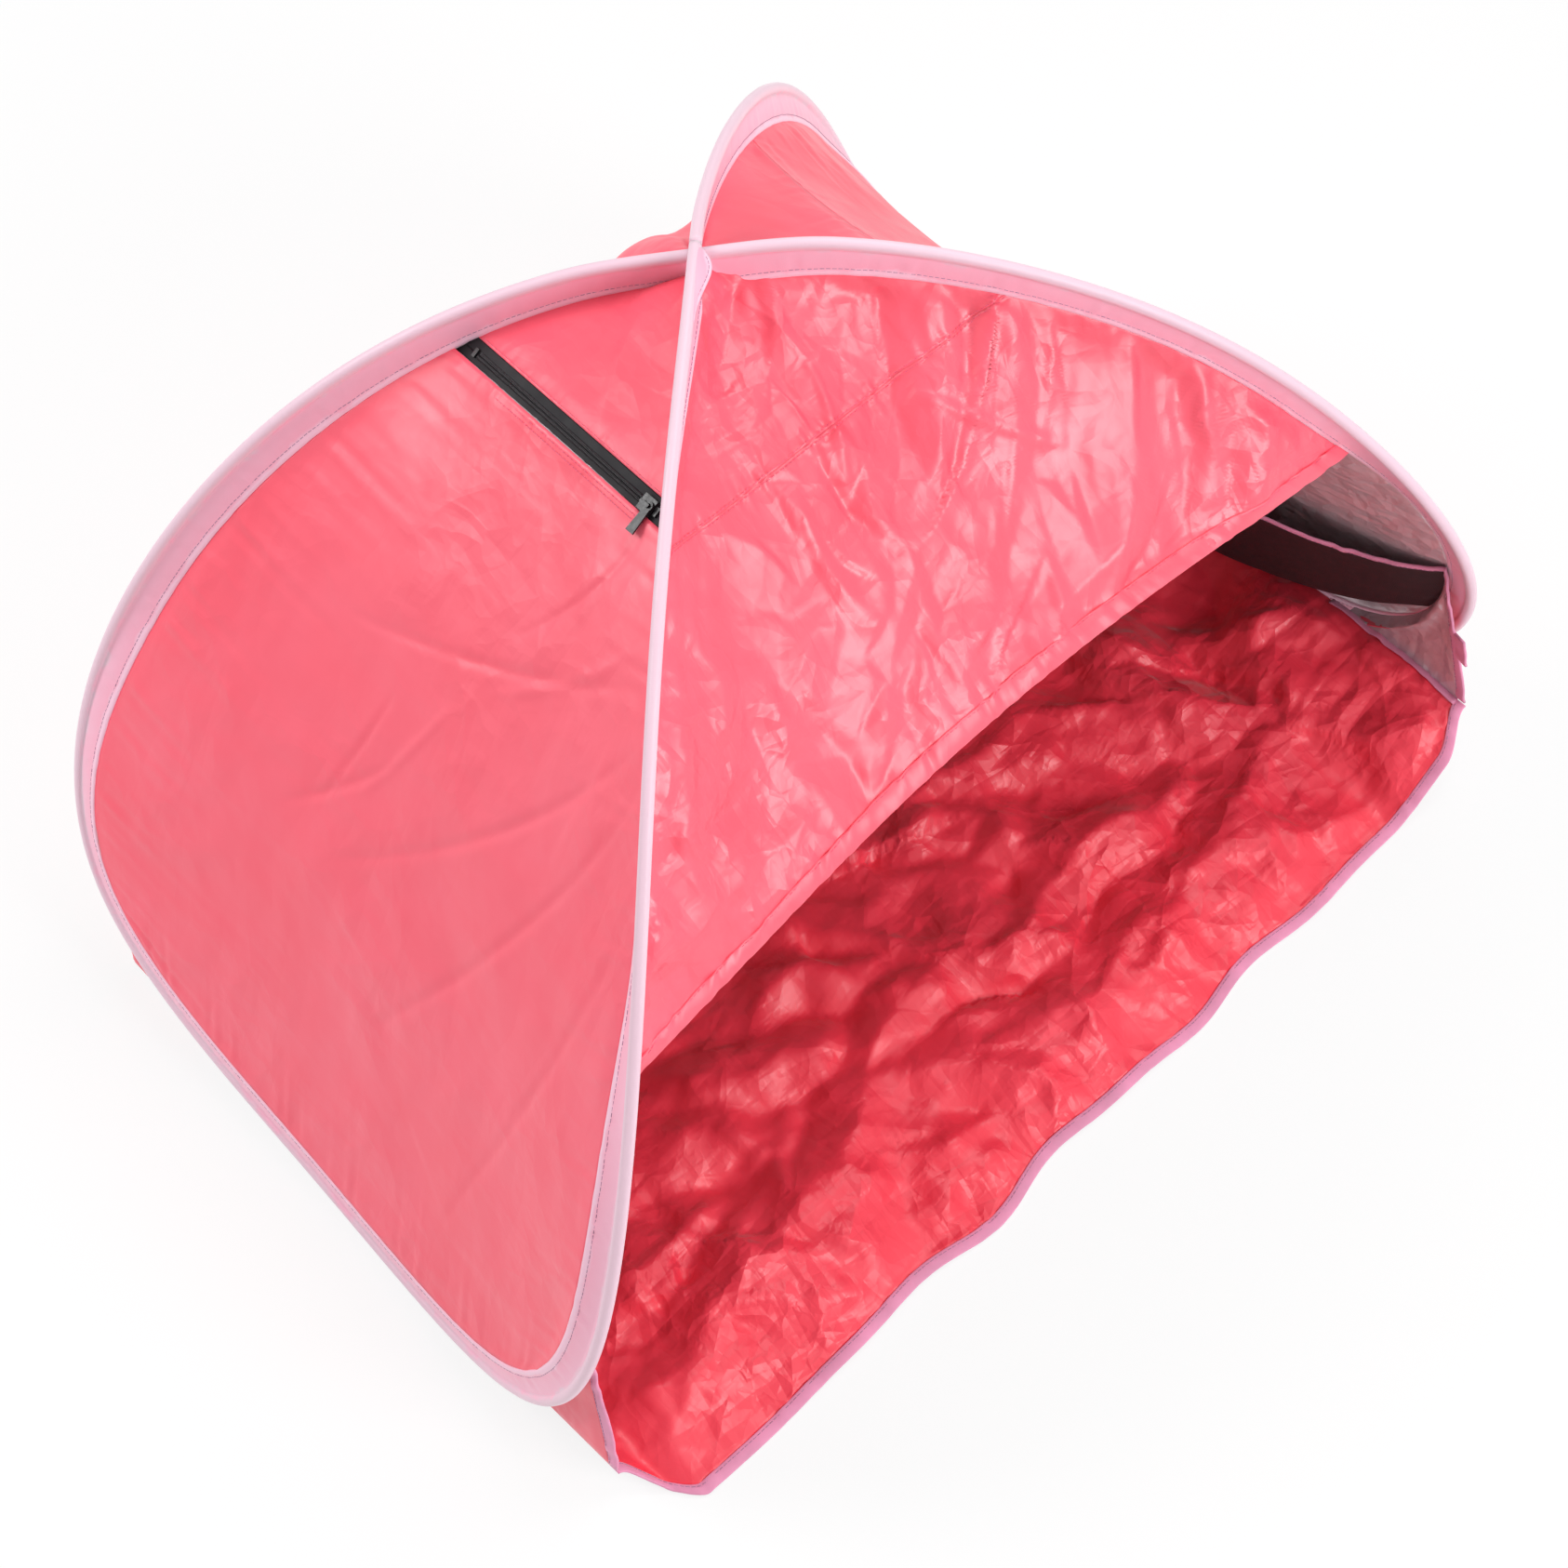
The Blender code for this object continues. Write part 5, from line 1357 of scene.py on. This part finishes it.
class TENT_OT_floor(Step):
    """Lays the crumpled floor and binds its front edge"""
    bl_idname = "beach_tent.floor"
    bl_label = "Floor"

    def make(self, hoop):
        size = sizes()
        fine = self.grid()
        piece = mesh_piece("floor_cloth_sheet", fine, [floor_cloth(), silver()], out=np.array([0, 0, 1.0]))
        thicken(piece, size.cloth, 1)
        dress(piece, "floor_cloth", "floor_sheet")
        edge = fine[0] + np.array([0, 0, 0.0006])
        toward = fine[0] - fine[2]
        toward[:, 2] *= 0.4
        toward = unit(toward)
        normal = edge_normal(edge, toward, len(edge) // 2, 2)
        tape = folded_tape("floor_binding_tape", edge - 0.0010 * toward, toward, normal,
                           size.binding_width + 0.001, 0.0016, binding_material(), 0.0004, 5.0)
        dress(tape, "edge_binding", "floor_binding")
        stitches("floor_binding_stitches", edge + 0.0009 * toward + 0.0009 * normal, normal, dark_thread())
        for side, word in SIDES:
            self.side_strip(fine[:, ::-side], side, word)

    def grid(self):
        """The floor's points: its folds and crumples, calm towards its edges and in its middle."""
        size = sizes()
        fine, x_share, y_share = floor_grid(170, 250)
        u = fine[..., 0]
        near_front = fine[..., 1] - fine[0, :, 1][None]
        inside = smooth(SWAY_HALF - np.abs(u), 0, 0.03)
        fine[..., 1] += 0.0036 * ripple(u, 0.150, 2.3) * np.exp(-near_front / 0.050) * inside
        fine[..., 2] += 0.0016 * (1 + np.sin(u / 0.031 + 1.0)) * np.exp(-near_front / 0.035) * inside
        near_rear = fine[-1, :, 1][None] - fine[..., 1]
        near_side = floor_half(fine[..., 1]) - np.abs(u)
        v = fine[..., 1]
        fade = np.clip((1 - np.abs(x_share)) / 0.11, 0, 1)
        fade = fade * np.clip(y_share / 0.07, 0, 1) * np.clip((1 - y_share) / 0.07, 0, 1)
        patch = smooth(np.hypot(u, v), 0.036, 0.075)
        warp_x = u + 0.005 * np.sin(v / 0.021) + 0.003 * np.sin(v / 0.009 + u / 0.013)
        warp_y = v + 0.005 * np.sin(u / 0.024 + 1.0) + 0.003 * np.sin(u / 0.010 - v / 0.012)
        folds = size.ridge_height * patch * fade * ridges(warp_x, warp_y)
        calm = smooth(near_front, 0, 0.022) * smooth(near_rear, 0, 0.030) * smooth(near_side, 0, 0.022)
        height = np.zeros(u.shape)
        for k, (cell, high, lean, stretch) in enumerate(FLOOR_LAYERS):
            height += high * facets(u, v, cell, 101 + SEED_STEP * k, lean, stretch)
        fine[..., 2] += folds + np.maximum(height - 0.0050, 0.0002 + 0.15 * height) * calm
        return fine

    def side_strip(self, grid, side, word):
        """Narrow binding over the seam between the floor's edge and the front small wall."""
        count = int(np.sum(grid[:, 0, 1] < FLOOR_MIDDLE_Y + 0.002))
        edge = grid[:count, 0]
        toward = unit(grid[:count, 5] - edge)
        normal = edge_normal(edge, toward, count // 2, 2)
        tape = folded_tape(f"floor_{word}_strip", edge - 0.0004 * toward + 0.0016 * normal, toward, normal,
                           0.0052, 0.0014, binding_material(), 0.0003, 3.0 + side)
        dress(tape, "edge_binding")


class TENT_OT_skirts(Step):
    """Makes the small walls between hoop and floor, their bindings and the tab"""
    bl_idname = "beach_tent.skirts"
    bl_label = "Skirts"

    def make(self, hoop):
        size = sizes()
        for side, word in SIDES:
            front = self.grid(hoop, side, SKIRT_FRONT, np.linspace(size.floor_corner_y, FLOOR_MIDDLE_Y, 16))
            rear = self.grid(hoop, side, SKIRT_REAR, np.linspace(0, size.floor_rear + 0.0012, 16))
            for grid, end, seed in ((front, "front", 71), (rear, "rear", 83)):
                fine = crumpled(finer(grid, 44, 64), SKIRT_LAYERS, seed + side, SKIRT_PUCKERS, rest=0.008)
                cloth_piece(f"{word}_{end}_skirt", fine, [coral(), silver()], (side, 0, 0),
                            f"skirt_{end}_{word}")
                if end == "front":
                    self.binding(side, word, fine)

    def grid(self, hoop, side, places, y_values):
        """Small wall from the casing edge down to the floor edge."""
        top = hoop.edge(side, *places, 16)
        top[:, 0] -= side * 0.0030
        flat = edge_rise(y_values)
        rise = np.maximum(flat, np.minimum(edge_rise(y_values, side), top[:, 2] - 0.0022))
        half = floor_half(y_values) - CORNER_INSET * (rise - flat)
        bottom = np.stack([side * half, y_values, 0.0012 + rise], axis=1)
        rows = []
        for share in np.linspace(0, 1, 7):
            row = (1 - share) * top + share * bottom
            if share > 0:
                inset = floor_half(row[:, 1]) - SKIRT_INSET * (1 - share)
                row[:, 0] = side * np.minimum(np.abs(row[:, 0]), inset)
            rows.append(row)
        return np.stack(rows)

    def binding(self, side, word, fine):
        """Bound front edge of a small wall, and the tab on the right one."""
        edge = cut_back(fine[:, 0], 0.003)
        toward = unit(fine[:, 0] - fine[:, 3])
        normal = edge_normal(edge, toward, 20, 0) * side
        tape = folded_tape(f"{word}_skirt_binding", edge, toward, normal, sizes().binding_width,
                           BINDING_THICKNESS, binding_material(), 0.0004, 6.0 + side)
        dress(tape, "edge_binding", f"skirt_binding_{word}")
        row = edge + 0.0012 * toward
        stitches(f"{word}_skirt_stitches", row + 0.0010 * normal, normal, dark_thread())
        stitches(f"{word}_skirt_stitches_inner", row - 0.0010 * normal, -normal, dark_thread())
        if side == RIGHT:
            self.tab(edge, toward)

    def tab(self, edge, toward):
        """Small bound loop on the edge, as near as it can be to the solid's place."""
        low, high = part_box("corner_tab")
        middle = (np.array(low) + np.array(high)) / 2
        near = int(np.argmin(np.linalg.norm(edge - middle, axis=1)))
        near = min(max(near, 3), len(edge) - 4)
        down = unit(edge[near + 3] - edge[near - 3])
        out = unit(flat_part(toward[near], down))
        middle = edge[near] + (sizes().binding_width - 0.0022) * out
        stations = 24
        line = line_between(middle - TAB_HALF * down, middle + TAB_HALF * down, stations)
        ways = np.tile(out, (stations, 1))
        ups = np.tile(unit(np.cross(down, out)), (stations, 1))
        tab = folded_tape("corner_tab_loop", line, ways, ups, 0.011, BINDING_THICKNESS, binding_material(),
                          0.0003, 2.0)
        dress(tab, "edge_binding", "corner_tab")


class TENT_OT_pockets(Step):
    """Makes the mesh pocket, its bound mouth and the lining behind the zip"""
    bl_idname = "beach_tent.pockets"
    bl_label = "Pockets"

    def make(self, hoop):
        self.net()
        self.lining()

    def net(self):
        """Mesh pocket that bellies from the right panel, and its bound mouth."""
        base = sampled(MADE["right_panel_lower"], 15, 22)
        inner = inner_side(base, RIGHT)
        rows, columns = 9, 20
        last = len(base) - 1
        spots = np.zeros((rows, columns, 3))
        ways = np.zeros((rows, columns, 3))
        for j in range(columns):
            top = POCKET_TOP + POCKET_RISE * (1 - smooth(j / (columns - 1), 0, 0.40))
            for k, place in enumerate(np.linspace(top, POCKET_FOOT, rows)):
                low = min(int(place * last), last - 1)
                share = place * last - low
                spots[k, j] = (1 - share) * base[low, j] + share * base[low + 1, j]
                ways[k, j] = unit((1 - share) * inner[low, j] + share * inner[low + 1, j])
        drop = np.linspace(0, 1, rows)
        profile = (0.80 + 0.20 * smooth(drop, 0, 0.75)) * (1 - smooth(drop, 0.75, 1))
        depth = 0.0020 + 0.0262 * profile[:, None] * bulge(columns, 0.8)[None, :]
        grid = crumpled(finer(spots + depth[..., None] * ways, 70, 170), POCKET_LAYERS, 91)
        net = look("black_net", net_cloth, (0.012, 0.002, 0.003))
        cloth_piece("mesh_pocket_net", grid, [net], (-1, 0, 0), "mesh_pocket", "mesh",
                    thickness=0.0004)
        toward = unit(grid[0] - grid[3])
        normal = grid_normals(grid)[0]
        normal = normal * np.sign(-normal[80, 0])
        tape = folded_tape("mesh_pocket_mouth_tape", grid[0] - 0.0004 * toward, toward, normal,
                           sizes().binding_width * 0.6, BINDING_THICKNESS, binding_material(), 0.0004, 4.0)
        dress(tape, "edge_binding", "mesh_pocket_binding")
        stitches("mesh_pocket_stitches", grid[0] + 0.0012 * toward + 0.0011 * normal, normal, dark_thread())

    def lining(self):
        """Lining that hangs behind the zip."""
        panel = MADE["left_panel_lower"]
        rows, columns = 90, 120
        part = sampled(panel[:int(len(panel) * 0.56)], rows, columns)
        rise = bulge(rows, 0.5)[:, None] * bulge(columns, 0.5)[None, :]
        lining = part + (0.0012 + 0.0036 * rise)[..., None] * inner_side(part, LEFT)
        cloth_piece("zip_pocket_lining", lining, [silver()], (1, 0, -0.6), "left_pocket_liner", "lining")


class TENT_OT_zip(Step):
    """Makes the zip's tapes and coils and the stitching beside it"""
    bl_idname = "beach_tent.zip"
    bl_label = "Zip"

    def make(self, hoop):
        size = sizes()
        front, rear, along, out, up = hoop.band(LEFT)
        length = np.linalg.norm(rear - front)
        black = tuple(colours().black)
        tape = look("zip_tape", tape_cloth, black, 0.0005, 0.0, 0.25)
        coil = look("zip_coil", coil_plastic, black)
        across = np.linspace(0.0, size.zip_half_band + 0.0010, 8)
        for sign, word in ((1, "upper"), (-1, "lower")):
            start, end = (
                self.casing_line(hoop, front, along, up, place, sign * across) for place in ZIP_ENDS)
            share = np.linspace(0, 1, 90)[:, None]
            runs = (1 - share) * (start + 0.0004) + share * (end + 0.0020)
            grid = front + runs[..., None] * along + sign * across[None, :, None] * up
            grid = grid - 0.0007 * out
            piece = mesh_piece(f"zip_tape_{word}", grid, [tape], out=out)
            thicken(piece, 0.0006)
            dress(piece, "zip_tape", f"zipper_tape_{word}")
            self.coil(front, along, out, up, sign, word, length, coil)
        for k, (gap, word) in enumerate(((0.0022, "above"), (-0.0020, "below_1"), (-0.0044, "below_2"))):
            place = math.copysign(size.zip_half_band, gap) + gap
            runs = np.linspace(0.006 + 0.002 * k, length - 0.006, 60)
            line = front + runs[:, None] * along + place * up + 0.0006 * out
            stitches(f"zip_stitches_{word}", line, np.tile(out, (60, 1)), pink_thread(), "coral_cloth")

    def casing_line(self, hoop, front, along, up, place, heights):
        """How far along the band the casing's edge lies at some heights above its middle."""
        edge = hoop.edge(LEFT, place - 0.020, place + 0.020, 80) - front
        order = np.argsort(edge @ up)
        return np.interp(heights, (edge @ up)[order], (edge @ along)[order])

    def coil(self, front, along, out, up, sign, word, length, material):
        """One coil of the zip: a flattened spiral of nylon along the tape's edge."""
        size = sizes()
        start = size.zip_half_band + COIL_MARGIN
        end = length - start
        turns = int((end - start) / size.coil_pitch) - 1
        steps = 12
        t = np.arange(turns * steps + 1) / steps + (0.5 if sign < 0 else 0.0)
        run = start + t * size.coil_pitch
        a = 0.00092 + 0.00090 * np.cos(2 * math.pi * t)
        b = 0.00068 * np.sin(2 * math.pi * t)
        line = front + run[:, None] * along + sign * a[:, None] * up + b[:, None] * out
        ways = unit(np.gradient(line, axis=0))
        first = flat_part(np.tile(along, (len(line), 1)), ways)
        second = np.cross(ways, first)
        sides = np.linspace(0, 2 * math.pi, 7)
        grid = line[:, None] + COIL_RADIUS * (
            np.cos(sides)[None, :, None] * first[:, None] + np.sin(sides)[None, :, None] * second[:, None])
        piece = mesh_piece(f"zip_coil_{word}", grid, [material], closed=True)
        dress(piece, "zip_coil", f"zipper_bead_{word}")


class TENT_OT_metal(Step):
    """Gives the wire, sleeve, stops, slider and pull their finishes"""
    bl_idname = "beach_tent.metal"
    bl_label = "Wire and fittings"

    def make(self, hoop):
        finishes = {
            "frame_wire": ("spring_steel", tuple(colours().steel), 0.28, 1.0),
            "wire_sleeve": ("sleeve_metal", (0.70, 0.70, 0.72), 0.35, 1.0),
            "zipper_stop_front": BLACK_PAINT,
            "zipper_stop_rear": BLACK_PAINT,
            "zipper_slider": BLACK_PAINT,
            "zipper_pull": BLACK_PAINT,
        }
        for node, (name, shade, roughness, metallic) in finishes.items():
            made = look(name, metal, shade, roughness, metallic)
            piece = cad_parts[node]
            if not piece.material_slots:
                piece.data.materials.append(made)
            for slot in piece.material_slots:
                slot.material = made


class TENT_OT_stage(Step):
    """Sets the floor, soft lamps, pale sky and camera"""
    bl_idname = "beach_tent.stage"
    bl_label = "Stage"

    def make(self, hoop):
        scene = bpy.context.scene
        stage = scene.beach_tent_stage
        scene.view_settings.view_transform = "Standard"
        n = Nodes("stage_white")
        n.finish(Base_Color=(0.93, 0.93, 0.93, 1), Roughness=0.9, Specular_IOR_Level=0.1)
        self.whiten(n)
        shape = bmesh.new()
        bmesh.ops.create_circle(shape, cap_ends=True, segments=96, radius=STAGE_RADIUS)
        mesh = bpy.data.meshes.new("stage_floor")
        shape.to_mesh(mesh)
        shape.free()
        mesh.transform(Matrix.Translation((0, 0, -STAGE_DROP)))
        mesh.materials.append(n.material)
        placed("stage_floor", mesh)
        self.sky(scene, stage.sky)
        for name, place, width in LAMPS:
            self.lamp(f"{name}_lamp", place, getattr(stage, name), width)
        self.camera(scene, stage.focal)

    def whiten(self, n):
        """Shows the floor mostly white to the camera and keeps a part of the tent's shadow."""
        out = next(k for k in n.tree.nodes if k.type == "OUTPUT_MATERIAL")
        glow = n.add("ShaderNodeEmission")
        n.put(glow, "Color", (1, 1, 1, 1))
        n.put(glow, "Strength", 1.0)
        blend = n.add("ShaderNodeMixShader")
        n.join(n.maths("MULTIPLY", seen_directly(n.tree), FLOOR_WHITENED), blend.inputs["Fac"])
        n.join(n.shader.outputs["BSDF"], blend.inputs[1])
        n.join(glow.outputs["Emission"], blend.inputs[2])
        n.join(blend.outputs["Shader"], out.inputs["Surface"])

    def sky(self, scene, strength):
        """Soft light all round, which is seen as white."""
        world = scene.world or bpy.data.worlds.new("sky")
        scene.world = world
        world.use_nodes = True
        tree = world.node_tree
        tree.nodes.clear()
        blend = tree.nodes.new("ShaderNodeMixShader")
        out = tree.nodes.new("ShaderNodeOutputWorld")
        for socket, power in ((1, strength), (2, 1)):
            light = tree.nodes.new("ShaderNodeBackground")
            light.inputs["Strength"].default_value = power
            light.inputs["Color"].default_value = (1, 1, 1, 1)
            tree.links.new(light.outputs["Background"], blend.inputs[socket])
        tree.links.new(seen_directly(tree), blend.inputs["Fac"])
        tree.links.new(blend.outputs["Shader"], out.inputs["Surface"])

    def lamp(self, name, place, power, width):
        """A round soft lamp that is turned to the tent."""
        light = bpy.data.lights.new(name, "AREA")
        light.shape = "DISK"
        light.size = width
        light.energy = power
        lamp = bpy.data.objects.new(name, light)
        lamp.location = place
        lamp.rotation_euler = (Vector(LAMP_AIM) - Vector(place)).to_track_quat("-Z", "Y").to_euler()
        bpy.context.scene.collection.objects.link(lamp)

    def camera(self, scene, focal):
        """The camera that the photo was taken from."""
        turn = math.radians(CAMERA_TURN)
        tilt = math.radians(CAMERA_TILT)
        right = Vector((math.cos(turn), -math.sin(turn), 0))
        up = Vector((math.sin(turn) * math.sin(tilt), math.cos(turn) * math.sin(tilt), math.cos(tilt)))
        back = right.cross(up)
        data = bpy.data.cameras.new("camera")
        data.sensor_fit = "HORIZONTAL"
        data.sensor_width = SENSOR_WIDTH
        data.lens = focal
        camera = bpy.data.objects.new("camera", data)
        pose = Matrix((right, up, back)).transposed().to_4x4()
        pose.translation = Vector(CAMERA_PLACE)
        camera.matrix_world = pose
        scene.collection.objects.link(camera)
        scene.camera = camera


STEPS = (
    TENT_OT_metal, TENT_OT_casings, TENT_OT_side_panels, TENT_OT_canopy, TENT_OT_rear_wall, TENT_OT_floor,
    TENT_OT_skirts, TENT_OT_pockets, TENT_OT_zip, TENT_OT_stage,
)


class TENT_PT_panel(bpy.types.Panel):
    """Lists the tent's steps in the sidebar"""
    bl_idname = "TENT_PT_panel"
    bl_label = "Beach tent"
    bl_space_type = "VIEW_3D"
    bl_region_type = "UI"
    bl_category = "Beach tent"

    def draw(self, context):
        for step in STEPS:
            self.layout.operator(step.bl_idname)


GROUPS = (
    (TentSizes, "beach_tent_sizes"),
    (TentColours, "beach_tent_colours"),
    (TentStage, "beach_tent_stage"),
)


def register():
    for group, name in GROUPS:
        bpy.utils.register_class(group)
        setattr(bpy.types.Scene, name, bpy.props.PointerProperty(type=group))
    for step in STEPS:
        bpy.utils.register_class(step)
    bpy.utils.register_class(TENT_PT_panel)


def unregister():
    bpy.utils.unregister_class(TENT_PT_panel)
    for step in reversed(STEPS):
        bpy.utils.unregister_class(step)
    for group, name in reversed(GROUPS):
        delattr(bpy.types.Scene, name)
        bpy.utils.unregister_class(group)


def main():
    register()
    for step in STEPS:
        word = step.bl_idname.split(".")[1]
        getattr(bpy.ops.beach_tent, word)()


if __name__ == "__main__":
    main()
